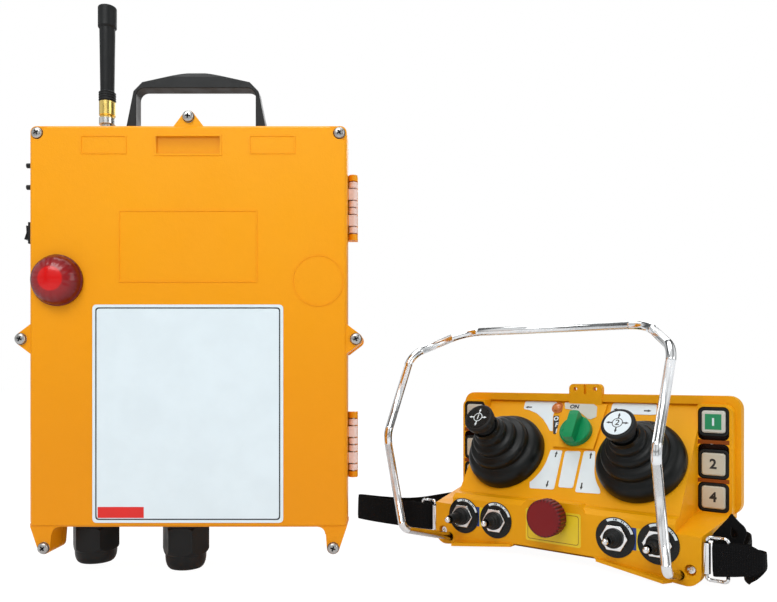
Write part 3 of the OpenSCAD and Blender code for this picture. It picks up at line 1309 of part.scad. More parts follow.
receiver_box();
receiver_lid();
lid_gasket();
lid_screws();
hinge_pins();
carry_handle();
antenna_socket();
antenna_plug();
antenna_whip();
beacon_lens();
gland_bodies();
gland_nuts();
side_fittings();
power_rocker();
name_plate();
circuit_board();
relays();
transformer();
terminal_strips();
front_shell();
rear_shell();
case_screws();
guard_rail();
rail_screws();
joystick_bases();
gimbal_left();
gimbal_right();
lever_left();
lever_right();
knob_left();
knob_right();
joystick_boots();
toggle_dials();
toggle_nuts();
toggle_bodies();
toggle_boots();
toggle_lever_1();
toggle_lever_2();
toggle_lever_3();
toggle_lever_4();
stop_head();
stop_stem();
stop_collar();
mode_knob();
indicator_lens();
button_bezels();
button_1();
button_2();
button_3();
button_4();
button_5();
button_6();
legend_plates();
strap_brackets();
strap_loop_left();
strap_loop_right();
waist_belt();
battery_cover();
battery_pack();
control_board();
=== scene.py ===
# %% [markdown]
# # A radio remote control for a crane
# Two units stand side by side: a receiver box with a hinged lid, and a transmitter that the
# operator wears in front of the belly. Their shapes were made in a CAD program. This file
# dresses them: it rounds their edges, gives every piece a finish, and makes the pieces that
# CAD is poor at, such as webbing, rubber bellows and printed marks. Units are metres, +Z is up.

# %% Load the frame
import json
import math
import bmesh
import bpy
from mathutils import Matrix, Vector
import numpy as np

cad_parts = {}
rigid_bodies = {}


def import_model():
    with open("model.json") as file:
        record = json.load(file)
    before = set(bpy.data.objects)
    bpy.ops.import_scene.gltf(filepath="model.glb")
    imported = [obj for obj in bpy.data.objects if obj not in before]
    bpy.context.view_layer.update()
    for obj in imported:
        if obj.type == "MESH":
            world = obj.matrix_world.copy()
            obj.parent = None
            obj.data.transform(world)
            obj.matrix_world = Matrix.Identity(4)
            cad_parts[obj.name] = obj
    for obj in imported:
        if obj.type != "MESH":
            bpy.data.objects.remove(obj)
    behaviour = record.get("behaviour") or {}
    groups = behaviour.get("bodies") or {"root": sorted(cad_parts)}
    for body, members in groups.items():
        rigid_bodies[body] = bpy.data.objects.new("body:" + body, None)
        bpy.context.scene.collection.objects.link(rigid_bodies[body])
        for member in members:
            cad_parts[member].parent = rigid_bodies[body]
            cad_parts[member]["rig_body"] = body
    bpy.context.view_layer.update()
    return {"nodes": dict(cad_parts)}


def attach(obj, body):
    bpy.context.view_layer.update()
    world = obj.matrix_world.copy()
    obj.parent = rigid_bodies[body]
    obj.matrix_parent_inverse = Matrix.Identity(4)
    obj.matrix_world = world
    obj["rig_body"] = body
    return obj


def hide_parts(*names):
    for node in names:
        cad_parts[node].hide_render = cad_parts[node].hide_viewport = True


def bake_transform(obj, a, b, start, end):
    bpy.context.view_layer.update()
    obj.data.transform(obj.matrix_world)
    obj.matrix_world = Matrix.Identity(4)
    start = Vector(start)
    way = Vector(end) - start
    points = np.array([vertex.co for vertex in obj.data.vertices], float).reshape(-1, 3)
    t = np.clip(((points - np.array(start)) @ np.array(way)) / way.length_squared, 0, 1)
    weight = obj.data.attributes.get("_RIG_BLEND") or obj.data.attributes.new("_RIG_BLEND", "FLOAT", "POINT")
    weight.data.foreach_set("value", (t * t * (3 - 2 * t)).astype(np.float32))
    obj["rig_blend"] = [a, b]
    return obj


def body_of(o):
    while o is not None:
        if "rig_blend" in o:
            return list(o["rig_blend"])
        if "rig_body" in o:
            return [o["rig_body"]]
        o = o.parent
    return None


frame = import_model()

# %% [markdown]
# ## The camera
# The view was fitted to mirrored features of the transmitter, and the receiver only helps to
# set the height. The photo doesn't fix the focal length firmly: 720 pixels for a frame of 777
# was chosen, and 800 would do nearly as well. The camera is level, with the horizon 77 pixels
# under the middle of the frame. The lens shift does that, so upright edges stay upright.

# %% Camera
def into_scene(thing):
    bpy.context.scene.collection.objects.link(thing)
    return thing


FRAME_W, FOCAL, HORIZON_DROP = 777, 720, 77
SENSOR_W = 36.0
lens = bpy.data.cameras.new("photo_view")
lens.sensor_width = SENSOR_W
lens.lens = SENSOR_W * FOCAL / FRAME_W
lens.shift_y = HORIZON_DROP / FRAME_W
lens.clip_start = 0.01
camera = bpy.data.objects.new("photo_view", lens)
camera.location = (-0.1904, -0.7365, 0.1787)
camera.rotation_euler = (math.pi / 2, 0, 0)
into_scene(camera)
bpy.context.scene.camera = camera
print("lens", round(lens.lens, 2), "mm")

# %% [markdown]
# ## Places
# The receiver stands square to the axes. The transmitter is turned, and its control panel
# leans back. A matrix for each lets a piece be drawn in millimetres on its own flat face,
# with x to the right, y up the face and z out of it.

# %% Local axes of the two units and their faces
TURN = math.radians(-39.5)
TILT = math.radians(55)
PANEL_Y, PANEL_Z, PANEL_RISE, FACE_Y = -37.0, 57.0, 97.0, -50.0
PANEL_RUN = PANEL_RISE / math.sin(TILT)
JOY_X, JOY_UP = 72.5, 49
OUTER_X, INNER_X, TOGGLE_Z = 102, 63, 33
UPRIGHT = Matrix.Rotation(math.pi / 2, 4, "X")
RECEIVER = Matrix.Translation((-0.366, -0.106, 0)) @ Matrix.Scale(0.001, 4)
TRANSMITTER = Matrix.Rotation(TURN, 4, "Z") @ Matrix.Scale(0.001, 4)


def lid_face(x, z, out=0.0):
    return RECEIVER @ Matrix.Translation((x, -out, z)) @ UPRIGHT


def front_face(x, z, out=0.0):
    return TRANSMITTER @ Matrix.Translation((x, FACE_Y - out, z)) @ UPRIGHT


def panel(x, a, out=0.0):
    foot = Vector((x, PANEL_Y + a * math.cos(TILT), PANEL_Z + a * math.sin(TILT)))
    return raised(TRANSMITTER @ Matrix.Translation(foot) @ Matrix.Rotation(TILT, 4, "X"), out)


def raised(place, out):
    """The same face, a little further out."""
    return place @ Matrix.Translation((0, 0, out))


print("top of the panel", [round(v, 4) for v in panel(0, PANEL_RUN).translation])

# %% [markdown]
# ## Writing a shader as a sum
# A material is a tree of nodes, and most of its nodes only add, multiply or compare. `Wire`
# holds one socket and understands +, -, * and /, so a pattern reads like a formula.
# `Finish.node` adds any other node, with its settings and its inputs by name.

# %% A small language for shaders
class Wire:
    """A socket of a finish's tree that can take part in sums."""

    def __init__(self, finish, socket):
        self.finish, self.socket = finish, socket

    def _sum(self, how, *values):
        return self.finish.node("ShaderNodeMath", {"operation": how}, dict(enumerate(values)))

    def __add__(self, other): return self._sum("ADD", self, other)
    def __radd__(self, other): return self._sum("ADD", other, self)
    def __sub__(self, other): return self._sum("SUBTRACT", self, other)
    def __rsub__(self, other): return self._sum("SUBTRACT", other, self)
    def __mul__(self, other): return self._sum("MULTIPLY", self, other)
    def __rmul__(self, other): return self._sum("MULTIPLY", other, self)
    def __truediv__(self, other): return self._sum("DIVIDE", self, other)
    def __gt__(self, other): return self._sum("GREATER_THAN", self, other)
    def __lt__(self, other): return self._sum("LESS_THAN", self, other)
    def power(self, n): return self._sum("POWER", self, n)
    def absolute(self): return self._sum("ABSOLUTE", self)
    def sine(self): return self._sum("SINE", self)
    def clamp(self): return self._sum("MAXIMUM", self._sum("MINIMUM", self, 1.0), 0.0)

    def soft(self, low, high, to_low=0.0, to_high=1.0):
        """Runs smoothly from to_low to to_high as the value goes from low to high."""
        keys = {"Value": self, "From Min": low, "From Max": high, "To Min": to_low, "To Max": to_high}
        return self.finish.node("ShaderNodeMapRange", {"interpolation_type": "SMOOTHSTEP"}, keys)


def rgb(r, g, b):
    """A colour as a painter reads it off a chart, 0 to 255, made linear for Blender."""
    shares = (r / 255, g / 255, b / 255)
    linear = [c / 12.92 if c <= 0.04045 else ((c + 0.055) / 1.055) ** 2.4 for c in shares]
    return (*linear, 1.0)


class Finish:
    """One material: a Principled shader and the patterns that drive it."""

    def __init__(self, name, color, rough=0.5, metal=0.0, **fixed):
        self.material = bpy.data.materials.new(name)
        self.material.use_nodes = True
        self.tree = self.material.node_tree
        self.shader = self.tree.nodes["Principled BSDF"]
        self.feed(self.shader.inputs["Base Color"], color)
        self.feed(self.shader.inputs["Roughness"], rough)
        self.feed(self.shader.inputs["Metallic"], metal)
        for key, value in fixed.items():
            self.feed(self.shader.inputs[key.replace("_", " ")], value)

    def feed(self, socket, value):
        if isinstance(value, Wire):
            self.tree.links.new(value.socket, socket)
        else:
            socket.default_value = value

    def node(self, kind, settings=None, inputs=None, out=0):
        made = self.tree.nodes.new(kind)
        for key, value in (settings or {}).items():
            setattr(made, key, value)
        for key, value in (inputs or {}).items():
            self.feed(made.inputs[key], value)
        return Wire(self, made.outputs[out])

    def place(self):
        return self.node("ShaderNodeTexCoord", out="Object")

    def along(self, axis, wire=None):
        return self.node("ShaderNodeSeparateXYZ", inputs={0: wire or self.place()}, out="XYZ".index(axis))

    def cloud(self, scale, detail=3.0, rough=0.55, at=None):
        keys = {"Vector": at or self.place(), "Scale": scale, "Detail": detail, "Roughness": rough}
        return self.node("ShaderNodeTexNoise", inputs=keys, out="Fac")

    def blend(self, share, first, second):
        inputs = {"Factor": share, 6: first, 7: second}
        return self.node("ShaderNodeMix", {"data_type": "RGBA"}, inputs, out=2)

    def color(self, wire): self.feed(self.shader.inputs["Base Color"], wire)
    def rough(self, wire): self.feed(self.shader.inputs["Roughness"], wire)

    def bump(self, height, depth, strength=1.0):
        keys = {"Height": height, "Distance": depth, "Strength": strength}
        self.feed(self.shader.inputs["Normal"], self.node("ShaderNodeBump", inputs=keys))


# %% [markdown]
# ## Floor, backdrop and light
# Such photographs are taken on white card. The camera sees the card as white, and for all
# other rays it is a plain pale surface, so the soft shadow stays. Polished metal shows what
# stands round it, so mirrors see a studio: white walls with dark gaps between the lamps.

# %% Floor and backdrop
WHITE = (1.0, 1.0, 1.0, 1.0)
GLOW = 1.12


def combine(tree, how, first, second):
    """One sum of two sockets, or of a socket and a number."""
    made = tree.nodes.new("ShaderNodeMath")
    made.operation = how
    for value, socket in zip((first, second), made.inputs):
        if isinstance(value, float):
            socket.default_value = value
        else:
            tree.links.new(value, socket)
    return made.outputs[0]


def mix_shaders(tree, share, first, second):
    mix = tree.nodes.new("ShaderNodeMixShader")
    for value, socket in zip((share, first, second), mix.inputs):
        tree.links.new(value, socket)
    return mix.outputs[0]


def seen_as_white(tree, lit, share, strength):
    """Mixes a plain white glow into the shader lit, for the rays of the camera alone."""
    path = tree.nodes.new("ShaderNodeLightPath")
    part = combine(tree, "MULTIPLY", path.outputs["Is Camera Ray"], share)
    glow = tree.nodes.new("ShaderNodeEmission" if lit.type != "BACKGROUND" else "ShaderNodeBackground")
    glow.inputs["Color"].default_value = WHITE
    glow.inputs["Strength"].default_value = strength
    return mix_shaders(tree, part, lit.outputs[0], glow.outputs[0])


card = Finish("white_card", (0.86, 0.86, 0.86, 1.0), rough=0.9)
card.shader.inputs["Specular IOR Level"].default_value = 0.0
out = card.tree.nodes["Material Output"]
card.tree.links.new(seen_as_white(card.tree, card.shader, 0.86, GLOW), out.inputs["Surface"])
floor_mesh = bpy.data.meshes.new("floor")
floor_mesh.from_pydata([(-9, -9, 0), (9, -9, 0), (9, 9, 0), (-9, 9, 0)], [], [(0, 1, 2, 3)])
floor_mesh.transform(Matrix.Translation((0, 0, -0.0003)))
floor = into_scene(bpy.data.objects.new("floor", floor_mesh))
floor.data.materials.append(card.material)

world = bpy.data.worlds.new("studio")
world.use_nodes = True
bpy.context.scene.world = world
room = world.node_tree
sky = room.nodes["Background"]
sky.inputs["Color"].default_value = (0.92, 0.95, 1.0, 1.0)
sky.inputs["Strength"].default_value = 0.5


# %% What mirrors see
def step_between(tree, value, low, high, soft=0.05):
    """1 between low and high, 0 outside, with soft ends."""
    ends = []
    for a, b in ((low - soft, low + soft), (high + soft, high - soft)):
        ramp = tree.nodes.new("ShaderNodeMapRange")
        ramp.interpolation_type = "SMOOTHSTEP"
        tree.links.new(value, ramp.inputs["Value"])
        ramp.inputs["From Min"].default_value = a
        ramp.inputs["From Max"].default_value = b
        ends.append(ramp.outputs[0])
    return combine(tree, "MULTIPLY", ends[0], ends[1])


looks = room.nodes.new("ShaderNodeTexCoord")
parts = room.nodes.new("ShaderNodeSeparateXYZ")
room.links.new(looks.outputs["Generated"], parts.inputs[0])
dark = 0.0
for axis, low, high in (("X", 0.35, 0.62), ("X", -0.66, -0.5), ("Z", 0.12, 0.2), ("Y", 0.45, 0.7)):
    band = step_between(room, parts.outputs[axis], low, high, 0.08)
    dark = combine(room, "MAXIMUM", dark, band)
tone = room.nodes.new("ShaderNodeMapRange")
room.links.new(dark, tone.inputs["Value"])
tone.inputs["To Min"].default_value = 0.95
tone.inputs["To Max"].default_value = 0.12
studio = room.nodes.new("ShaderNodeBackground")
room.links.new(tone.outputs[0], studio.inputs["Strength"])
path = room.nodes.new("ShaderNodeLightPath")
seen = mix_shaders(room, path.outputs["Is Glossy Ray"], seen_as_white(room, sky, 1.0, 1.0),
                   studio.outputs[0])
room.links.new(seen, room.nodes["World Output"].inputs["Surface"])
bpy.context.scene.view_settings.view_transform = "Standard"


# %% Lamps
def softbox(name, place, aim, size, watts):
    light = bpy.data.lights.new(name, "AREA")
    light.shape = "RECTANGLE"
    light.size, light.size_y = size
    light.energy = watts
    lamp = into_scene(bpy.data.objects.new(name, light))
    lamp.location = place
    lamp.rotation_euler = (Vector(aim) - Vector(place)).to_track_quat("-Z", "Y").to_euler()


MIDDLE = (-0.2, -0.05, 0.2)
softbox("key", (-0.75, -1.5, 1.7), MIDDLE, (1.2, 0.9), 19)
softbox("fill", (1.5, -1.2, 0.9), MIDDLE, (1.0, 1.0), 6)
softbox("top", (-0.2, 0.2, 2.0), MIDDLE, (1.8, 1.0), 13)
softbox("back", (0.3, 1.8, 1.2), MIDDLE, (1.4, 1.0), 8)

# %% [markdown]
# ## Finishes
# The receiver is a casting under satin enamel, the transmitter a textured moulding. Both
# are orange-yellow, but paint shows orange peel and gathers gloss, and a moulding has the
# fine grain of its tool. No real surface is one flat colour, so each finish carries slow
# clouds of tone, and a roughness that changes with handling.

# %% Enamel, moulding and printed stock
def cloudy(finish, base, depth, scale=14.0):
    """Lets a colour wander by a share either way, slowly over the piece."""
    tone = finish.cloud(scale, 4.0)
    dark = tuple(c * (1 - depth) for c in base[:3]) + (1.0,)
    light = tuple(min(c * (1 + depth), 1.0) for c in base[:3]) + (1.0,)
    return finish.blend(tone.soft(0.3, 0.7), dark, light)


ENAMEL = rgb(246, 156, 2)
enamel = Finish("orange_enamel", ENAMEL, Specular_IOR_Level=0.22, Coat_Weight=0.04, Coat_Roughness=0.3)
KNUCKLE = rgb(246, 216, 205)
# The hinge knuckles of the receiver are left pale: a band beside the right wall, between caps
east = enamel.along("X") + 0.366
up = enamel.along("Z")
south = enamel.along("Y") + 0.106
pale = (east > 0.1397) * (south < 0.0272) * (south > 0.0185)
for low, high in ((0.3096, 0.3564), (0.0951, 0.1419)):
    inside = (up > low) * (up < high)
    pale = pale + inside * 10
pale = (pale > 10.5)
# Painted light: the paint is drawn warmer and brighter towards the top, where the light falls, and painted
# shade darkens the long recess at the top, most at its upper edge
painted_top_light = enamel.blend(up.soft(0.06, 0.4), rgb(236, 148, 0), rgb(252, 168, 6))
painted = enamel.blend((enamel.cloud(9.0, 4.0).soft(0.3, 0.7) * 0.25), painted_top_light, ENAMEL)
# Painted shade in the long recess at the top of the lid
recess = ((east.absolute() < 0.0285) * (up > 0.3745) * (up < 0.3905)) * (south < 0.004)
painted = enamel.blend(recess * up.soft(0.376, 0.391, 0.15, 0.75), painted, rgb(206, 120, 4))
enamel.color(enamel.blend(pale, painted, KNUCKLE))
enamel.rough(enamel.cloud(30.0).soft(0.3, 0.7, 0.36, 0.46))
enamel.bump(enamel.cloud(900.0, 2.0) + enamel.cloud(160.0, 2.0) * 0.6, 0.00012)


def on_transmitter(finish):
    """Wires of the place in the transmitter's own axes: to the right, inwards and up."""
    x, y = finish.along("X"), finish.along("Y")
    return x * math.cos(TURN) + y * math.sin(TURN), y * math.cos(TURN) - x * math.sin(TURN), finish.along("Z")


MOULDING = rgb(238, 166, 6)
moulding = Finish("orange_moulding", MOULDING, Specular_IOR_Level=0.2)
# Painted shade: the pockets of the push-buttons are drawn deep brown where shade falls in them, with duller
# bars between them
across, inward, height = on_transmitter(moulding)
near = (across.absolute() - 0.130).absolute()
column = (near < 0.0138) * (height > 0.0538) * (height < 0.1528)
column = column * ((across.absolute() + height) < 0.294)
painted_pocket_shade = column * (inward > 0.01525) * (inward < 0.026)
bar_face = column * (inward > 0.0146) * (inward < 0.0165)
bars = bar_face * ((height - 0.1194).absolute() < 0.0021)
bars = bars + bar_face * ((height - 0.0836).absolute() < 0.0020)
plain = cloudy(moulding, MOULDING, 0.04, 16.0)
plain = moulding.blend(bars.clamp(), plain, rgb(138, 66, 6))
# Painted shade: the pockets are drawn dark brown
moulding.color(moulding.blend(painted_pocket_shade, plain, rgb(58, 20, 4)))
moulding.rough(moulding.cloud(45.0).soft(0.3, 0.7, 0.38, 0.5))
moulding.bump(moulding.cloud(2600.0, 2.0), 0.00006)

PAPER = rgb(228, 240, 244)
paper = Finish("label_stock", PAPER, Coat_Weight=0.1)
paper.color(cloudy(paper, PAPER, 0.02, 30.0))
paper.rough(paper.cloud(60.0).soft(0.3, 0.7, 0.34, 0.42))
ink_and_shade = Finish("black_ink_and_shade", rgb(24, 26, 28))
ink_and_shade.rough(ink_and_shade.cloud(200.0).soft(0.3, 0.7, 0.42, 0.55))
warm_ink = Finish("brown_ink", rgb(150, 96, 18))
warm_ink.rough(warm_ink.cloud(200.0).soft(0.3, 0.7, 0.42, 0.55))


def stock(name, color, rough=0.4):
    """Coloured label film."""
    film = Finish(name, color)
    film.color(cloudy(film, color, 0.04, 40.0))
    film.rough(film.cloud(80.0).soft(0.3, 0.7, rough - 0.05, rough + 0.06))
    return film


red_film = stock("red_film", rgb(226, 32, 24))
yellow_film = stock("yellow_film", rgb(238, 205, 30))
blue_film = stock("blue_film", rgb(22, 62, 140))
green_film = stock("green_film", rgb(20, 140, 88))
pale_film = stock("pale_film", rgb(205, 206, 196))


# %% Plastics and rubber
def plastic(name, color, rough=0.42, grain=1800.0, depth=0.00005, tone=0.12, **fixed):
    """A moulded piece: fine tool grain, and handling marks in the gloss."""
    made = Finish(name, color, **fixed)
    made.color(cloudy(made, color, tone, 35.0))
    made.rough(made.cloud(70.0, 5.0).soft(0.25, 0.75, rough - 0.08, rough + 0.1))
    made.bump(made.cloud(grain, 2.0), depth)
    return made


black_plastic = plastic("black_plastic", rgb(19, 22, 23), Specular_IOR_Level=0.3)
black_gloss = plastic("black_gloss", rgb(14, 16, 16), rough=0.25, depth=0.00002, Specular_IOR_Level=0.3)
rubber = plastic("black_rubber", rgb(14, 17, 18), rough=0.5, grain=700.0, depth=0.00004,
                 Specular_IOR_Level=0.3)
boot_rubber = plastic("boot_rubber", rgb(3, 7, 7), rough=0.4, grain=420.0, depth=0.00006,
                      Specular_IOR_Level=0.26)
cap_white = plastic("cap_white", rgb(206, 205, 194), rough=0.36, tone=0.03)
cap_ivory = plastic("cap_ivory", rgb(200, 196, 178), rough=0.36, tone=0.04)
knob_green = plastic("knob_green", rgb(2, 138, 82), rough=0.34, tone=0.05, Specular_IOR_Level=0.3)
stop_red = plastic("stop_red", rgb(118, 14, 20), rough=0.42, tone=0.06, Specular_IOR_Level=0.3)
side_x, _, side_z = on_transmitter(stop_red)
rim_x, rim_z = side_x * 1000.0, (side_z - 0.045) * 1000.0
rim_r = (rim_x * rim_x + rim_z * rim_z).power(0.5)
around = stop_red.node("ShaderNodeMath", {"operation": "ARCTAN2"}, {0: rim_z, 1: rim_x})
# Painted shade: the grooves between the rim's ribs are drawn dark red; the same pattern also gives them their
# bump
groove = ((around * 30.0).sine() * 0.5 + 0.5).power(1.6) * rim_r.soft(15.6, 17.2)
stop_red.color(stop_red.blend(groove, cloudy(stop_red, rgb(118, 14, 20), 0.06, 35.0), rgb(62, 4, 8)))
stop_red.bump(groove * -1.0, 0.0006)
relay_blue = plastic("relay_blue", rgb(46, 88, 150), rough=0.22)
board_green = plastic("board_green", rgb(22, 96, 52), rough=0.35)
# Copper runs under the lacquer show as slightly paler lines that turn from place to place
run_x, run_z = board_green.along("X") * 900.0, board_green.along("Z") * 900.0
pick = board_green.cloud(26.0, 1.0) > 0.5
lines = (run_x.sine() > 0.72) * pick + (run_z.sine() > 0.72) * (1.0 - pick)
board_green.color(board_green.blend(lines * 0.8, rgb(16, 84, 44), rgb(62, 138, 74)))
terminal_green = plastic("terminal_green", rgb(60, 142, 74), rough=0.4)
wrap_blue = plastic("battery_wrap", rgb(52, 62, 84), rough=0.3)
foam = plastic("foam_seal", rgb(60, 60, 60), rough=0.8, grain=1200.0, depth=0.0003)


# %% Metals
def metal(name, color, rough, smear=120.0, spread=0.1, depth=0.00001):
    made = Finish(name, color, metal=1.0)
    made.color(cloudy(made, color, 0.06, 60.0))
    made.rough(made.cloud(smear, 4.0).soft(0.3, 0.7, rough, rough + spread))
    made.bump(made.cloud(smear * 12, 2.0), depth)
    return made


chrome = metal("polished_chrome", (0.84, 0.86, 0.87, 1.0), 0.08, spread=0.02, depth=0.0000005)
zinc = metal("plated_steel", (0.46, 0.46, 0.45, 1.0), 0.28)
steel = metal("turned_steel", (0.56, 0.55, 0.53, 1.0), 0.3)
brass = metal("machined_brass", rgb(238, 210, 128), 0.22)
# The foot of the antenna's plug is plated, the rest is bare brass
brass.color(brass.blend(brass.along("Z") < 0.4185, rgb(238, 208, 120), (0.7, 0.7, 0.68, 1.0)))
alloy = metal("turned_alloy", (0.7, 0.71, 0.72, 1.0), 0.32)
core = metal("laminated_core", (0.24, 0.24, 0.25, 1.0), 0.5)
print(len(bpy.data.materials), "finishes")

# %% [markdown]
# ## Making a piece
# A mesh is drawn on its face in millimetres and then moved by that face's matrix, so the
# object itself stays at the origin. Faces that meet gently are shaded as one curve, and
# real edges stay sharp.

# %% Helpers for pieces
def own(name, mesh, finish, body="root", angle=35):
    """Turns a finished mesh into a piece of the object."""
    mesh.materials.clear()
    mesh.materials.append(finish.material)
    mesh.shade_smooth()
    mesh.set_sharp_from_angle(angle=math.radians(angle))
    piece = into_scene(bpy.data.objects.new(name, mesh))
    if body:
        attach(piece, body)
    return piece


def from_bmesh(name, bm, place):
    """Closes a bmesh, turns its faces outwards and moves it to its place."""
    bmesh.ops.remove_doubles(bm, verts=bm.verts, dist=1e-5)
    bmesh.ops.recalc_face_normals(bm, faces=bm.faces)
    mesh = bpy.data.meshes.new(name)
    bm.to_mesh(mesh)
    bm.free()
    mesh.transform(place)
    return mesh


def lathe(name, profile, place, steps=48):
    """Turns a closed profile of (radius, height) about the local z axis."""
    bm = bmesh.new()
    rings = []
    for k in range(steps):
        c, s = math.cos(math.tau * k / steps), math.sin(math.tau * k / steps)
        rings.append([bm.verts.new((r * c, r * s, h)) for r, h in profile])
    for k in range(steps):
        a, b = rings[k], rings[(k + 1) % steps]
        for i in range(len(profile)):
            j = (i + 1) % len(profile)
            if profile[i][0] < 1e-6 and profile[j][0] < 1e-6:
                continue
            corners = [a[i], b[i], b[j], a[j]]
            if profile[i][0] < 1e-6:
                corners = [a[i], b[j], a[j]]
            elif profile[j][0] < 1e-6:
                corners = [a[i], b[i], a[j]]
            bm.faces.new(corners)
    return from_bmesh(name, bm, place)


def round_off(points, r, steps=5):
    """Rounds every corner of a closed outline; r is one radius or one for each corner."""
    made = []
    n = len(points)
    for i, p in enumerate(points):
        radius = r[i] if isinstance(r, (list, tuple)) else r
        p, a, b = Vector(p), Vector(points[i - 1]), Vector(points[(i + 1) % n])
        u, v = (a - p).normalized(), (b - p).normalized()
        bend = u.angle(v)
        if radius <= 0 or bend > 3.1:
            made.append(tuple(p))
            continue
        cut = min(radius / math.tan(bend / 2), 0.48 * min((a - p).length, (b - p).length))
        start, stop = p + u * cut, p + v * cut
        for k in range(steps + 1):
            t = k / steps
            made.append(tuple(start * (1 - t) ** 2 + p * 2 * t * (1 - t) + stop * t ** 2))
    return made


def plate(name, outline, thick, place, holes=()):
    """A flat plate with an outline, and with holes given as further outlines."""
    curve = bpy.data.curves.new(name, "CURVE")
    curve.dimensions = "2D"
    curve.fill_mode = "BOTH"
    curve.extrude = thick / 2
    for ring in (outline, *holes):
        spline = curve.splines.new("POLY")
        spline.points.add(len(ring) - 1)
        for point, (x, y) in zip(spline.points, ring):
            point.co = (x, y, 0, 1)
        spline.use_cyclic_u = True
    return flat_mesh(name, curve, raised(place, thick / 2))


def printed(name, outline, thick, place, finish, body="root", holes=()):
    """A plate that is a piece of its own."""
    return own(name, plate(name, outline, thick, place, holes), finish, body)


def evaluated(thing):
    """A plain mesh of an object with all its modifiers."""
    bpy.context.view_layer.update()
    return bpy.data.meshes.new_from_object(thing.evaluated_get(bpy.context.evaluated_depsgraph_get()))


def flat_mesh(name, curve, place):
    """Makes a plain mesh of a flat curve or a text, at its place."""
    maker = into_scene(bpy.data.objects.new(name + "_maker", curve))
    mesh = evaluated(maker)
    bpy.data.objects.remove(maker)
    mesh.name = name
    mesh.transform(place)
    return mesh


def lettering(name, words, size, place, heavy=0.0, thick=0.08):
    """Printed letters or figures, centred on the origin of their face."""
    text = bpy.data.curves.new(name, "FONT")
    text.body = words
    text.size = size
    text.align_x, text.align_y = "CENTER", "CENTER"
    text.extrude = thick / 2
    text.offset = heavy
    text.resolution_u = 3
    return flat_mesh(name, text, raised(place, thick / 2))


def joined(name, meshes):
    """One mesh of several."""
    bm = bmesh.new()
    for mesh in meshes:
        bm.from_mesh(mesh)
    whole = bpy.data.meshes.new(name)
    bm.to_mesh(whole)
    bm.free()
    return whole


def circle(r, n=32, x=0.0, y=0.0):
    return [(x + r * math.cos(math.tau * k / n), y + r * math.sin(math.tau * k / n)) for k in range(n)]


def box(x0, y0, x1, y1):
    return [(x0, y0), (x1, y0), (x1, y1), (x0, y1)]


def smooth_path(points, per=6, closed=False):
    """A curve through the points, with per steps between neighbours."""
    vectors = [Vector(p) for p in points]
    n = len(vectors)
    made = []
    for i in range(n if closed else n - 1):
        four = (i - 1, i, i + 1, i + 2)
        p0, p1, p2, p3 = [vectors[k % n if closed else min(max(k, 0), n - 1)] for k in four]
        for k in range(per):
            t = k / per
            made.append(0.5 * (2 * p1 + (p2 - p0) * t + (2 * p0 - 5 * p1 + 4 * p2 - p3) * t * t
                               + (3 * p1 - p0 - 3 * p2 + p3) * t ** 3))
    if not closed:
        made.append(vectors[-1])
    return made


# %% [markdown]
# ## Castings and mouldings with soft edges
# No cast or moulded edge is razor sharp: the small radius along it catches the light, and
# that highlight is what tells the eye the size of a thing. The CAD meshes are loose
# triangles. A copy is merged, its flat faces are made whole again, and a bevel rounds
# every edge sharper than 30 degrees.

# %% Dress a CAD node
def dress(node, finish, bevel=0.0, angle=35, steps=2):
    """Stands a merged copy of a CAD node in for it, with rounded edges and a finish."""
    source = frame["nodes"][node]
    if not bevel and angle is None:
        source.data.materials.clear()
        source.data.materials.append(finish.material)
        return source
    bm = bmesh.new()
    bm.from_mesh(source.data)
    bmesh.ops.remove_doubles(bm, verts=bm.verts, dist=1e-6)
    if bevel:
        bmesh.ops.dissolve_limit(bm, angle_limit=math.radians(0.6), verts=bm.verts, edges=bm.edges)
    mesh = bpy.data.meshes.new(node + "_dressed")
    bm.to_mesh(mesh)
    bm.free()
    piece = own(node + "_dressed", mesh, finish, body_of(source)[0], angle)
    if bevel:
        rounding = piece.modifiers.new("rounded edges", "BEVEL")
        rounding.width = bevel * 0.001
        rounding.segments = steps
        rounding.limit_method = "ANGLE"
        rounding.angle_limit = math.radians(30)
        rounding.use_clamp_overlap = True
        even = piece.modifiers.new("even shading", "WEIGHTED_NORMAL")
        even.keep_sharp = True
    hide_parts(node)
    return piece


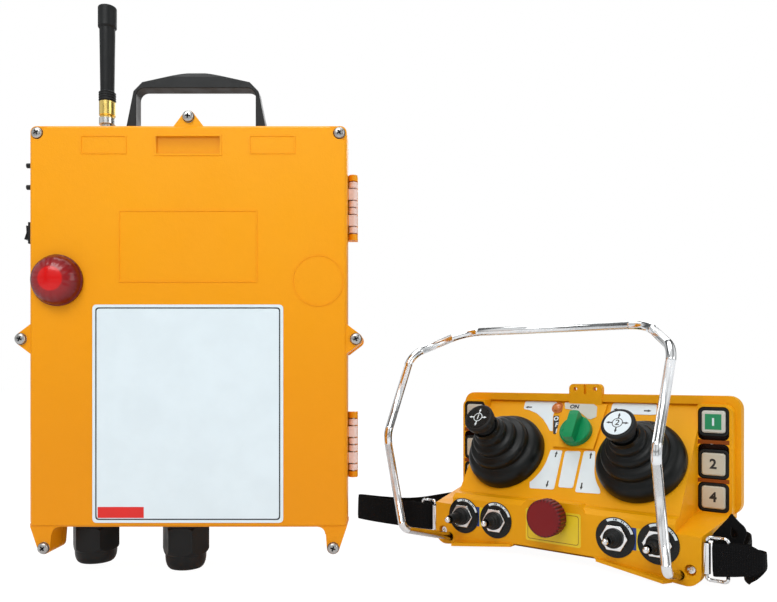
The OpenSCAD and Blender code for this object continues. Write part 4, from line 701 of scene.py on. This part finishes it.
PLAIN = {
    "receiver_box": (enamel, 0.8), "receiver_lid": (enamel, 0.7), "front_shell": (moulding, 1.0),
    "rear_shell": (moulding, 0.9), "battery_cover": (moulding, 0.4), "carry_handle": (black_plastic, 1.6),
    "lid_gasket": (foam, 0.0), "hinge_pins": (steel, 0.3), "antenna_socket": (steel, 0.3),
    "antenna_plug": (brass, 0.2), "antenna_whip": (rubber, 0.3), "gland_bodies": (black_plastic, 0.5),
    "gland_nuts": (black_plastic, 0.5), "side_fittings": (black_plastic, 0.3),
    "power_rocker": (black_gloss, 0.4), "circuit_board": (board_green, 0.0),
    "relays": (relay_blue, 0.6), "transformer": (core, 0.5),
    "terminal_strips": (terminal_green, 0.4), "case_screws": (zinc, 0.2), "guard_rail": (chrome, 0.0),
    "rail_screws": (chrome, 0.2), "joystick_bases": (black_plastic, 0.4), "gimbal_left": (alloy, 0.4),
    "gimbal_right": (alloy, 0.4), "lever_left": (steel, 0.3), "lever_right": (steel, 0.3),
    "knob_left": (rubber, 0.5), "knob_right": (rubber, 0.5), "toggle_dials": (black_gloss, 0.15),
    "toggle_nuts": (chrome, 0.5), "toggle_bodies": (black_plastic, 0.3), "stop_head": (stop_red, 0.3),
    "stop_stem": (black_plastic, 0.3), "stop_collar": (black_plastic, 0.3), "mode_knob": (knob_green, 0.8),
    "button_bezels": (black_plastic, 0.6), "strap_brackets": (chrome, 0.3), "strap_loop_left": (chrome, 0.0),
    "strap_loop_right": (chrome, 0.0), "battery_pack": (wrap_blue, 0.8), "control_board": (board_green, 0.0),
}
PLAIN.update({f"toggle_lever_{i}": (chrome, 0.1) for i in (1, 2, 3, 4)})
PLAIN.update({f"button_{i}": (cap_white if i in (1, 4) else cap_ivory, 0.5) for i in (1, 2, 3, 4, 5, 6)})
for node, (finish, bevel) in PLAIN.items():
    dress(node, finish, bevel)
print(len(PLAIN), "nodes dressed")

# %% [markdown]
# ## The beacon
# Painted light: the lamp under the lens is drawn into the colour as a bright red core, and painted shade
# makes the red dome round it darker towards its rim; faint prisms facet the dome. The tone runs with the
# distance from the lamp's axis.

# %% Beacon lens
beacon_axis = lid_face(-114, 264).translation
beacon = Finish("beacon_red", rgb(150, 14, 18), Specular_IOR_Level=0.35, Coat_Weight=0.12,
                Coat_Roughness=0.08)
bx = beacon.along("X") - beacon_axis.x
bz = beacon.along("Z") - beacon_axis.z
radius = (bx * bx + bz * bz).power(0.5) * 1000.0
# Painted light over the lamp, and painted shade darkening the dome towards its rim
glow = radius.soft(9.5, 11.5)
ring = beacon.blend(radius.soft(12.0, 22.0), rgb(150, 26, 30), rgb(108, 10, 14))
beacon.color(beacon.blend(glow, rgb(214, 6, 4), ring))
beacon.rough(beacon.cloud(60.0).soft(0.3, 0.7, 0.14, 0.24))
turn = beacon.node("ShaderNodeMath", {"operation": "ARCTAN2"}, {0: bx, 1: bz})
beacon.bump((turn * 16.0).sine() * radius.soft(10.0, 14.0) * 0.5 + beacon.cloud(500.0) * 0.2, 0.0003)
dress("beacon_lens", beacon, 0.3)

# %% [markdown]
# ## The name plate
# A printed plate with a line round its edge and a red strip at its foot. The words on the
# real one are left out, so it stays bare.

# %% Name plate
PLATE_Z, PLATE_T = 147.5, 0.7
plate_top = lid_face(0, PLATE_Z, PLATE_T)
own_plate = printed("plate_sheet", round_off(box(-83.5, -95.5, 83.5, 95.5), 4), PLATE_T,
                    lid_face(0, PLATE_Z), paper, "lid")
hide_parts("name_plate")
printed("plate_line", round_off(box(-80.9, -93.0, 80.9, 93.0), 3.2), 0.05, plate_top, ink_and_shade, "lid",
        [round_off(box(-79.8, -91.9, 79.8, 91.9), 2.6)])
printed("plate_strip", box(-78.8, -91.2, -38.5, -81.6), 0.12, plate_top, red_film, "lid")

# %% [markdown]
# ## Joystick boots
# A boot is a bellows of thin rubber: a wide skirt at its foot, then steps that get narrower
# up to a collar under the knob. It is turned from one closed profile, outside and inside.
# A boot follows two joints, so it is parted in a fold: the foot goes with the gimbal ring,
# the rest goes with the stick.

# %% Boots
BOOT_R, BOOT_H, WALL = 42.0, 56.0, 1.6
FOOT = [(0.985, 0.0), (1.0, 0.025), (1.0, 0.12), (0.985, 0.19), (0.94, 0.255), (0.875, 0.305), (0.8, 0.335),
        (0.763, 0.352), (0.75, 0.375)]
NECK = [(0.75, 0.375), (0.752, 0.43), (0.735, 0.485), (0.69, 0.518), (0.62, 0.538), (0.578, 0.552),
        (0.562, 0.575), (0.562, 0.625), (0.548, 0.67), (0.51, 0.7), (0.455, 0.718), (0.422, 0.733),
        (0.41, 0.755), (0.41, 0.81), (0.398, 0.85), (0.365, 0.875), (0.338, 0.89), (0.33, 0.91), (0.33, 1.0)]


def closed_skin(outline, wall):
    """A wall of even thickness inside an open outline of (radius, height)."""
    line = smooth_path([(r, h, 0) for r, h in outline], 3)
    inner = []
    for i, p in enumerate(line):
        along = (line[min(i + 1, len(line) - 1)] - line[max(i - 1, 0)]).normalized()
        inner.append((p.x - along.y * wall, p.y + along.x * wall * 0.6))
    return [(p.x, p.y) for p in line] + inner[::-1]


for side, name in ((-1, "left"), (1, "right")):
    parts = (("foot", FOOT, "root", "stick_ring_" + name, 2, 20),
             ("neck", NECK, "stick_ring_" + name, "stick_" + name, 22, 46))
    for part, shares, low, high, start, stop in parts:
        profile = closed_skin([(r * BOOT_R, h * BOOT_H) for r, h in shares], WALL)
        mesh = lathe(f"boot_{part}_{name}", profile, panel(side * JOY_X, JOY_UP), 64)
        piece = own(f"boot_{part}_{name}", mesh, boot_rubber, None, 40)
        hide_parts("joystick_boots")
        ends = [panel(side * JOY_X, JOY_UP, out).translation for out in (start, stop)]
        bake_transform(piece, low, high, ends[0], ends[1])

# %% Toggle boots
OUTER_TALL, INNER_TALL = 33, 26
TOGGLES = ((-OUTER_X, OUTER_TALL), (-INNER_X, INNER_TALL), (INNER_X, INNER_TALL), (OUTER_X, OUTER_TALL))
for i, (x, tall) in enumerate(TOGGLES, 1):
    top = tall - 7.0
    low = 4.8
    outline = [(9.0, low), (9.1, low + 1.8), (7.6, low + 2.5), (8.3, low + 3.5), (8.0, low + 5.0),
               (6.5, low + 5.9), (7.0, low + 7.0), (6.6, low + 8.3), (5.2, low + 9.2), (5.2, top - 3.8),
               (4.5, top - 2.8), (4.4, top)]
    mesh = lathe(f"toggle_boot_{i}", closed_skin(outline, 0.9), front_face(x, TOGGLE_Z), 40)
    piece = own(f"toggle_boot_{i}", mesh, rubber, None, 40)
    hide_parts("toggle_boots")
    ends = [front_face(x, TOGGLE_Z, out).translation for out in (6, 15)]
    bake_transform(piece, "root", f"toggle_{i}", ends[0], ends[1])

# %% [markdown]
# ## Labels
# White film with rounded corners lies in the panel between the boots, and a yellow one
# round the stop button. Words on the real labels are left out; arrows, ON and OFF stay,
# because a switch needs them.

# %% Labels on the panel
FILM, MARK_T = 0.4, 0.05


def arrow(x, y, dx, dy, wide=3.0):
    """Outline of an arrow from a point along (dx, dy), wide across its head."""
    along = Vector((dx, dy))
    far = along.normalized()
    across = Vector((-far.y, far.x))
    foot = Vector((x, y))
    neck = foot + along - far * wide * 1.15
    shaft = wide * 0.24
    corners = (foot - across * shaft, neck - across * shaft, neck - across * wide / 2, foot + along,
               neck + across * wide / 2, neck + across * shaft, foot + across * shaft)
    return [tuple(p) for p in corners]


def film(name, outline, r, finish=paper, marks=(), out=0.0):
    """A label on the panel, with printed marks on it."""
    base = panel(0, 0, out)
    sheet = printed(name, round_off(outline, r), FILM, base, finish)
    for k, mark in enumerate(marks):
        printed(f"{name}_mark_{k}", mark, MARK_T, raised(base, FILM), ink_and_shade)
    return sheet


def around_boot(cx, gap, from_deg, to_deg, n=10):
    """Points on a circle at a gap outside a boot, on the panel."""
    r = BOOT_R + gap
    turns = [math.radians(from_deg + (to_deg - from_deg) * k / n) for k in range(n + 1)]
    return [(cx + r * math.cos(a), JOY_UP + r * math.sin(a)) for a in turns]


strip_left = [(-11.4, 57.6), (-24.4, 57.0)] + around_boot(-JOY_X, 5.5, -1, -41, 8)
strip_left += [(-34.8, 11.2), (-8.2, 12.4)]
first = film("label_strip_left", strip_left, [2, 1.5] + [0] * 8 + [1, 2.5, 2.5], marks=[
    arrow(-17.0, 49, 0.0, 7.4), arrow(-17.0, 21.4, 0.3, -7.6)])
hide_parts("legend_plates")
film("label_strip_middle", [(8.7, 57.8), (-8.2, 57.1), (-4.4, 15.6), (11.1, 16.2)], 2.5)
strip_right = [(23.6, 59.2), (11.9, 58.6), (14.4, 12.2), (40.6, 13.2)]
strip_right += around_boot(JOY_X, 4.0, 221, 186, 8)
film("label_strip_right", strip_right, [1.5, 2.5, 2.5, 2, 1] + [0] * 8, marks=[
    arrow(20.6, 50.2, -0.8, 7.4), arrow(19.0, 23.0, 0.8, -8.0)])
left_top = [(-72.6, 116.9), (-71.6, 106.2), (-64.8, 105.4), (-53.8, 101.2), (-44.5, 94.5),
            (-37.7, 87.2), (-32.4, 80.2), (-28.7, 79.7), (-34.0, 99.0), (-33.5, 116.9)]
film("label_top_left", left_top, [3, 3, 0, 0, 0, 0, 1.5, 1, 6, 3], marks=[
    arrow(-62.0, 109.0, -8, -0.2)])
right_top = [(28.0, 116.9), (73, 116.9), (75, 104.5), (69, 104), (28.4, 104)]
film("label_top_right", right_top, [3, 3, 2, 0, 2], marks=[
    arrow(36.6, 109.0, -6, 0.3), arrow(62, 108.5, 7.5, 0)])
PAD = 3.0
on_corners = [(-23.3, 114.2), (8.0, 114.2), (14.0, 110.0), (16.2, 97.6), (10.6, 94.3), (7.8, 94.8),
              (0.6, 100.2), (-5.7, 104.2), (-20.9, 106.6)]
film("label_on", on_corners, [1, 3, 3, 2, 2, 0, 0, 0, 1], pale_film, out=PAD)
own("word_on", lettering("word_on", "ON", 6.4, panel(-10.7, 109.0, PAD + FILM), 0.26), ink_and_shade)
off_corners = [(-33.3, 99.0), (-27.1, 99.2), (-21.2, 76.8), (-27.3, 76.5)]
printed("label_off", round_off(off_corners, 0.8), FILM, panel(0, 0), ink_and_shade)
lean = Matrix.Rotation(math.radians(6), 4, "Z")
for k, letter in enumerate("OFF"):
    place = panel(-30.0 + 2.65 * (k + 0.35), 98.9 - 7.5 * (k + 0.5), FILM) @ lean
    own(f"letter_off_{k}", lettering(f"letter_off_{k}", letter, 6.9, place, 0.26), paper)

# %% Labels on the front face
LABEL_Z = 34
stop_place = front_face(0.6, LABEL_Z)
stop_label = printed("label_stop", round_off(box(-29, -16, 29, 16), 2.5), FILM, stop_place, yellow_film,
                     holes=[circle(14.3, 40, -0.6, 11)])
corner = round_off([(27, -14), (27, 5), (27, 14), (-27, 14), (-27, -14)], [3, 0, 3, 3, 3])
inner = round_off([(26.4, -13.4), (26.4, 5), (26.4, 13.4), (-26.4, 13.4), (-26.4, -13.4)],
                  [2.6, 0, 2.6, 2.6, 2.6])
printed("label_stop_line", corner, MARK_T, raised(stop_place, FILM), warm_ink, holes=[inner])
for side in (-1, 1):
    for half, colour in ((-1, blue_film), (1, yellow_film)):
        x = side * 82.5 + half * 2.3
        printed(f"label_mini_{side}_{half}".replace("-", "m"), box(-2.2, -10, 2.2, 10), 0.35,
                front_face(x, LABEL_Z), colour)

# %% Scales on the toggle dials
def arc_band(r0, r1, start, stop, n=16):
    sweep = [math.radians(start + (stop - start) * k / n) for k in range(n + 1)]
    return ([(r0 * math.cos(a), r0 * math.sin(a)) for a in sweep]
            + [(r1 * math.cos(a), r1 * math.sin(a)) for a in reversed(sweep)])


SCALE_T = 0.06
for i, (x, _) in enumerate(TOGGLES, 1):
    face = front_face(x, TOGGLE_Z, 0.8)
    printed(f"dial_scale_{i}", arc_band(17.7, 15.4, 18, 118), SCALE_T, face, paper)
    marks = [plate(f"dial_mark_{i}", arc_band(17.3, 15.8, a, a + w, 3), 0.04, raised(face, SCALE_T))
             for a, w in ((84, 6), (92, 4), (60, 3), (66, 4), (40, 3), (46, 3))]
    own(f"dial_marks_{i}", joined(f"dial_marks_{i}", marks), ink_and_shade)

# %% [markdown]
# ## Marks on the knobs and the buttons
# Each stick carries its number in a ring with four arrows: white on black on the left,
# black on a white disc on the right.

# %% Numbers on the sticks
KNOB_TOP, RING_R, PRINT_T = 73.0, 4.9, 0.06


def compass(name, digit, place, finish, body):
    """A digit in a ring, with four arrows, printed on a knob."""
    meshes = [plate(name, circle(RING_R, 40), PRINT_T, place, [circle(4.2, 40)]),
              lettering(name, digit, 8.0, place, 0.12, PRINT_T)]
    for a in (0, 90, 180, 270):
        c, s = math.cos(math.radians(a)), math.sin(math.radians(a))
        meshes.append(plate(name, arrow(RING_R * c, RING_R * s, 5.4 * c, 5.4 * s, 2.5), PRINT_T, place))
    own(name, joined(name, meshes), finish, body)


DISCS = (("left", -JOY_X, "1", 12.6, 0.25, black_gloss, paper), ("right", JOY_X, "2", 12.2, 0.3, paper, ink_and_shade))
for name, x, digit, r, thick, ground, print_ink in DISCS:
    printed("knob_disc_" + name, circle(r, 48), thick, panel(x, JOY_UP, KNOB_TOP), ground, "stick_" + name)
    compass("knob_mark_" + name, digit, panel(x, JOY_UP, KNOB_TOP + thick), print_ink, "stick_" + name)

# %% Marks on the push-buttons
WING_Y, CAP_X, CAP_IN, CAP_PRINT_T = 15.0, 130.0, 1.0, 0.12
CAP_ZS = (138.2, 98.9, 68.3)


def cap_face(i, out):
    x = -CAP_X if i < 3 else CAP_X
    return TRANSMITTER @ Matrix.Translation((x, WING_Y - CAP_IN - out, CAP_ZS[i % 3])) @ UPRIGHT


for i, mark in enumerate(("", "1", "3", "", "2", "4")):
    if mark:
        number = f"cap_number_{i + 1}"
        own(number, lettering(number, mark, 12.4, cap_face(i, 0.0), 0.42), ink_and_shade, f"button_{i + 1}")
printed("cap_start", box(-7.2, -7.2, 7.2, 7.2), CAP_PRINT_T, cap_face(3, 0.0), green_film, "button_4")
printed("cap_start_bar", box(-0.9, -3.6, 0.9, 3.6), MARK_T, cap_face(3, CAP_PRINT_T), paper, "button_4")
printed("cap_stop", box(-6.6, -3.0, 6.6, 3.0), CAP_PRINT_T, cap_face(0, 0.0), ink_and_shade, "button_1")

# %% Indicator lamp
amber = plastic("lamp_amber", rgb(206, 120, 58), rough=0.14, tone=0.1, Coat_Weight=0.5)
lamp_axis = panel(-31, 109)
dress("indicator_lens", amber, 0.2)
bezel_shape = [(5.5, 0), (6.7, 0), (6.7, 0.9), (6.2, 1.3), (5.5, 1.3)]
own("indicator_bezel", lathe("indicator_bezel", bezel_shape, lamp_axis, 40), amber)

# %% [markdown]
# ## Lid screws
# All seven screws are the same, and no fitter stops them at the same angle. Geometry Nodes
# set one modelled screw on seven points, each with its own turn from a fixed seed.

# %% One screw
def cross_screw(name, head_r, head_h, washer_r, washer_t):
    """A pan head with a cross recess on a washer, standing on the origin, +z outwards."""
    dome = ((1, 0), (1, 0.35), (0.94, 0.6), (0.78, 0.84), (0.5, 0.97))
    profile = [(0, washer_t)] + [(head_r * r, washer_t + head_h * h) for r, h in dome]
    head = lathe(name, profile + [(0, washer_t + head_h)], Matrix.Identity(4), 32)
    solid = into_scene(bpy.data.objects.new(name + "_head", head))
    slots = []
    for turn in (0, 90):
        tool = bpy.data.meshes.new(name + "_slot")
        bm = bmesh.new()
        bmesh.ops.create_cube(bm, size=1.0)
        for v in bm.verts:
            narrow = 0.55 if v.co.z < 0 else 1.0
            v.co.x *= head_r * 1.25 * narrow
            v.co.y *= head_r * 0.3
            v.co.z = v.co.z * head_h * 1.2 + washer_t + head_h * 0.95
        bm.to_mesh(tool)
        bm.free()
        tool.transform(Matrix.Rotation(math.radians(turn), 4, "Z"))
        cutter = into_scene(bpy.data.objects.new(name + "_slot", tool))
        cut = solid.modifiers.new("slot", "BOOLEAN")
        cut.operation, cut.object, cut.solver = "DIFFERENCE", cutter, "EXACT"
        slots.append(cutter)
    made = evaluated(solid)
    for gone in [solid] + slots:
        bpy.data.objects.remove(gone)
    flat = [(head_r * 0.6, 0), (washer_r, 0), (washer_r, washer_t * 0.7), (washer_r * 0.94, washer_t),
            (head_r * 0.6, washer_t)]
    return joined(name, [made, lathe(name + "_washer", flat, Matrix.Identity(4), 32)])


def set_on_points(name, points, model, finish, seed, turn=math.tau, sizes=(1.0, 1.0)):
    """Instances a model on points by Geometry Nodes and returns the plain mesh."""
    tree = bpy.data.node_groups.new(name, "GeometryNodeTree")
    face = tree.interface
    for key, kind in (("Points", "Geometry"), ("Model", "Object"), ("Turn", "Float"),
                      ("Smallest", "Float"), ("Largest", "Float"), ("Seed", "Int")):
        face.new_socket(key, in_out="INPUT", socket_type="NodeSocket" + kind)
    face.new_socket("Geometry", in_out="OUTPUT", socket_type="NodeSocketGeometry")
    new, link = tree.nodes.new, tree.links.new
    given, result = new("NodeGroupInput"), new("NodeGroupOutput")
    info, setter = new("GeometryNodeObjectInfo"), new("GeometryNodeInstanceOnPoints")
    spin, size = new("FunctionNodeRandomValue"), new("FunctionNodeRandomValue")
    upward = new("ShaderNodeCombineXYZ")
    real, paint = new("GeometryNodeRealizeInstances"), new("GeometryNodeSetMaterial")
    link(given.outputs["Points"], setter.inputs["Points"])
    link(given.outputs["Model"], info.inputs["Object"])
    link(info.outputs["Geometry"], setter.inputs["Instance"])
    link(given.outputs["Turn"], spin.inputs[3])
    link(given.outputs["Seed"], spin.inputs["Seed"])
    link(spin.outputs[1], upward.inputs["Z"])
    link(upward.outputs[0], setter.inputs["Rotation"])
    link(given.outputs["Smallest"], size.inputs[2])
    link(given.outputs["Largest"], size.inputs[3])
    link(given.outputs["Seed"], size.inputs["Seed"])
    link(size.outputs[1], setter.inputs["Scale"])
    link(setter.outputs[0], real.inputs[0])
    link(real.outputs[0], paint.inputs["Geometry"])
    paint.inputs["Material"].default_value = finish.material
    link(paint.outputs[0], result.inputs[0])
    spots = bpy.data.meshes.new(name + "_points")
    spots.from_pydata(points, [], [])
    carrier = into_scene(bpy.data.objects.new(name, spots))
    model_object = into_scene(bpy.data.objects.new(name + "_model", model))
    rule = carrier.modifiers.new(name, "NODES")
    rule.node_group = tree
    keys = {item.name: item.identifier for item in face.items_tree if item.in_out == "INPUT"}
    values = {"Model": model_object, "Turn": turn, "Smallest": sizes[0], "Largest": sizes[1], "Seed": seed}
    for key, value in values.items():
        rule[keys[key]] = value
    mesh = evaluated(carrier)
    bpy.data.objects.remove(carrier)
    bpy.data.objects.remove(model_object)
    return mesh


# %% Seven screws on the lid
EAR_AT = [(0, 408.0), (-147.0, 213.0), (147.0, 213.0), (-127.0, 29.5), (127.0, 29.5),
          (-132.5, 393.5), (132.5, 393.5)]
EAR_FACE, SCREW_SEED, WASHER_R, WASHER_T = -1.5, 7, 5.2, 0.9
ear_points = [(x, z, 0) for x, z in EAR_AT]
screw = cross_screw("lid_screw", 4.8, 2.6, WASHER_R, WASHER_T)
screws = set_on_points("lid_screw_heads", ear_points, screw, zinc, SCREW_SEED)
screws.transform(lid_face(0, 0, EAR_FACE))
screw_piece = own("lid_screw_heads", screws, zinc, "lid", 30)
# Painted shade: thin black plates lie in the cross recesses and in a ring on each washer round the foot of
# the head
shade = joined("lid_screw_cross", [plate("cross", box(-w, -h, w, h), 0.1, Matrix.Translation((0, 0, 2.3)))
                                   for w, h in ((3.4, 0.62), (0.62, 3.4))]
               + [plate("ring", circle(WASHER_R, 32), 0.04, Matrix.Translation((0, 0, WASHER_T)),
                        [circle(4.7, 32)])])
crosses = set_on_points("lid_screw_shade", ear_points, shade, ink_and_shade, SCREW_SEED)
crosses.transform(lid_face(0, 0, EAR_FACE))
own("lid_screw_shade", crosses, ink_and_shade, "lid", 30)
shanks = joined("lid_screw_shanks", [lathe("shank", [(0, -0.2), (2.4, -0.2), (2.4, -20.0), (0, -20.0)],
                lid_face(x, z, EAR_FACE), 20) for x, z in EAR_AT])
own("lid_screw_shanks", shanks, zinc, "lid")
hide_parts("lid_screws")
print(len(EAR_AT), "screws,", len(screws.polygons), "faces")


# %% Inside the receiver
def inside(y):
    """A matrix for marks facing forwards at a depth behind the lid's face."""
    return RECEIVER @ Matrix.Translation((0, y, 0)) @ UPRIGHT


screw_model = cross_screw("terminal_screw", 1.75, 1.0, 1.8, 0.1)
ways = [((i - 8.5) * 10.0, 108.0, 0) for i in range(18)]
terminals = set_on_points("terminal_screws", ways, screw_model, zinc, 11)
terminals.transform(inside(71.5))
own("terminal_screws", terminals, zinc)
BOX_FLOOR, STANDOFF, BOARD_T, RELAY_DEEP = 87.0, 8, 1.6, 20.0
RELAY_FRONT = BOX_FLOOR - STANDOFF - BOARD_T - RELAY_DEEP
spots = [((i - 3.5) * 24.0, 234.0 + k * 44.0, 0) for i in range(8) for k in (-0.5, 0.5)]
tags = set_on_points("relay_tags", spots, plate("relay_tag", round_off(box(-5.5, -9, 5.5, 9), 1), 0.1,
                     Matrix.Identity(4)), pale_film, 3, 0.0)
tags.transform(inside(RELAY_FRONT))
own("relay_tags", tags, pale_film)
print(len(ways), "terminal screws and", len(spots), "relay tags")

# %% [markdown]
# ## The belt
# Webbing is woven flat: fine ribs run along it, and its edges are bound. Its path is a
# smooth curve through a few points. A ribbon along it gets a UV map in metres, so the weave
# has its true scale wherever the belt turns. Each end is sewn round a wire loop and swings
# with it, so the belt is parted behind the case.

# %% Webbing finish
webbing = Finish("black_webbing", rgb(12, 12, 13), rough=0.85, Specular_IOR_Level=0.15)
uv = webbing.node("ShaderNodeUVMap", {"uv_map": "weave"})
u, v = webbing.along("X", uv), webbing.along("Y", uv)
ribs = (u * (math.tau / 0.0019)).sine() * 0.5 + 0.5
picks = ((v * (math.tau / 0.0021)) + (u * (math.tau / 0.0038)).sine() * 1.3).sine() * 0.5 + 0.5
weave = ribs * 0.55 + picks * 0.45
fuzz = webbing.cloud(900.0, 3.0)
webbing.color(webbing.blend((weave * 0.7 + fuzz * 0.4).clamp(), rgb(2, 2, 3), rgb(17, 17, 18)))
webbing.rough(fuzz.soft(0.3, 0.7, 0.78, 0.92))
webbing.bump(weave + fuzz * 0.3, 0.0005)


# %% Ribbon along a path
def ribbon(name, path, edges, thick, across=6, waver=0.0):
    """Webbing on edge along a path seen from above, with a weave map in metres."""
    points = [Vector(p) for p in path]
    rows = []
    reach = 0.0
    bm = bmesh.new()
    for i, p in enumerate(points):
        if i:
            reach += (p - points[i - 1]).length
        along = (points[min(i + 1, len(points) - 1)] - points[max(i - 1, 0)]).normalized()
        side = Vector((-along.y, along.x, 0))
        row = []
        low, high = edges(p)
        for face in (-1, 1):
            order = range(across + 1) if face < 0 else range(across, -1, -1)
            for k in order:
                t = k / across
                edge = 0.5 if k in (0, across) else 1.0
                bow = waver * math.sin(reach / 17.0 + 2.2 * t)
                z = low + (high - low) * t
                q = Vector((p.x, p.y, p.z + z)) + side * (face * thick / 2 * edge + bow)
                row.append((bm.verts.new(q), reach * 0.001, (z if face < 0 else z + 0.0003) * 0.001))
        rows.append(row)
    layer = bm.loops.layers.uv.new("weave")
    n = len(rows[0])
    for a, b in zip(rows, rows[1:]):
        for i in range(n):
            j = (i + 1) % n
            face = bm.faces.new((a[i][0], b[i][0], b[j][0], a[j][0]))
            for loop, (_, du, dv) in zip(face.loops, (a[i], b[i], b[j], a[j])):
                loop[layer].uv = (du, dv)
    for row in (rows[0], rows[-1]):
        face = bm.faces.new([r[0] for r in row])
        for loop, (_, du, dv) in zip(face.loops, row):
            loop[layer].uv = (du, dv)
    bmesh.ops.recalc_face_normals(bm, faces=bm.faces)
    mesh = bpy.data.meshes.new(name)
    bm.to_mesh(mesh)
    bm.free()
    mesh.transform(TRANSMITTER)
    return mesh, reach * 0.001


WRAP_X, LOOP_Y, WRAP_R, FOLD_IN = 158.5, -46.8, 2.6, 9.0
WEBBING_W, WEBBING_T, BELT_LOW, BELT_HIGH = 0.028, 1.6, 12.0, 40.0


def fold(s):
    """The webbing through a wire loop, from its short end to its long one."""
    near, far = s * (WRAP_X + 6), s * (WRAP_X + 17)
    turns = [math.radians(d) for d in range(90, -91, -15)]
    bend = [(s * (WRAP_X - FOLD_IN - WRAP_R * math.cos(a)), LOOP_Y + WRAP_R * math.sin(a), 0) for a in turns]
    short = [(far, LOOP_Y + WRAP_R - 0.3, 0), (near, LOOP_Y + WRAP_R, 0)]
    return short + bend + [(near, LOOP_Y - WRAP_R, 0), (far, LOOP_Y - WRAP_R, 0)]


def belt_edges(p):
    """Lower and upper edge of the belt: the bunch at the right is raised and narrows outwards."""
    lift = min(max((p.x - 158) / 12, 0), 1) * min(max((-p.y - 20) / 16, 0), 1)
    end = max(p.x - 172, 0) / 14.5
    sag = min(max((p.x - 120) / 20, 0), 1) * min(max((p.y + 40) / 20, 0), 1) * 9.5
    low = BELT_LOW + 4.5 * lift + 7.0 * end ** 2 - sag
    return low, BELT_HIGH + 2.5 * lift - 6.0 * end ** 2 - sag * 1.15


def belt_piece(name, path, body, blend_to=None, start=None, stop=None):
    """One length of the belt; blend_to names the body that its far end goes with."""
    mesh, long = ribbon(name, path, belt_edges, WEBBING_T, waver=0.35)
    piece = own(name, mesh, webbing, None if blend_to else body, 60)
    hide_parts("waist_belt")
    if blend_to:
        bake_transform(piece, body, blend_to, start, stop)
    print(name, round(long, 3), "m of webbing")


LEFT = [(-187.2, -53), (-220.5, -54), (-247.6, -51.5), (-251.4, -48.5), (-247.6, -45.5), (-220.5, -42),
        (-194.8, -34), (-182.7, -15), (-178.2, 20), (-172.1, 60), (-154, 81), (-120.8, 90)]
BACK = [(-120.8, 90), (-60.4, 93), (0, 93.2), (60.4, 93), (120.8, 90)]
RIGHT = [(120.8, 90), (139, 80), (150, 66), (156, 40), (160, 0), (168, -20), (177, -30), (184.5, -37),
         (186.5, -44), (184.5, -49.25)]


def spot(x, y, z=26.0):
    return TRANSMITTER @ Vector((x, y, z))


def rounded_path(points):
    return smooth_path([(x, y, 0) for x, y in points], 6)


left_run = [Vector(p) for p in fold(-1)[:-1]] + rounded_path([(-175.5, -49.4)] + LEFT)
right_run = rounded_path(RIGHT + [(175.5, -49.4)]) + [Vector(p) for p in fold(1)[::-1][1:]]
belt_piece("belt_left", left_run, "loop_left", "root", spot(-164, LOOP_Y), spot(-230, LOOP_Y))
belt_piece("belt_back", rounded_path(BACK), "root")
belt_piece("belt_right", right_run, "root", "loop_right", spot(186.0, LOOP_Y), spot(164, LOOP_Y))

# %% The spare end of the belt
# It stands up behind the bunch as a crumpled fold with a small loop, seen flat from the front.
TAIL_Y, TAIL_FLAT = -27, (0.015, 0.08)


def flat_path(points, per, closed=False):
    return [(p.x, p.y) for p in smooth_path([(x, z, 0) for x, z in points], per, closed)]


loop_out = [(141.5, 33.0), (141.5, 43.6), (147.0, 50.6), (153.2, 58.2), (156.0, 62.6)]
loop_out += flat_path([(156.6, 62.6), (161.9, 56.7), (166.4, 52.6), (168.2, 47.4), (166.0, 40.0),
                       (165.0, 33.0)], 4)
loop_in = flat_path([(156.2, 42.6), (161.4, 43.4), (161.0, 47.4), (158.7, 49.8), (156.2, 50.8)], 3, True)
tail_place = TRANSMITTER @ Matrix.Translation((0, TAIL_Y, 0)) @ UPRIGHT
tail = own("belt_tail", plate("belt_tail", loop_out, WEBBING_T, tail_place, [loop_in]), webbing, "root", 60)
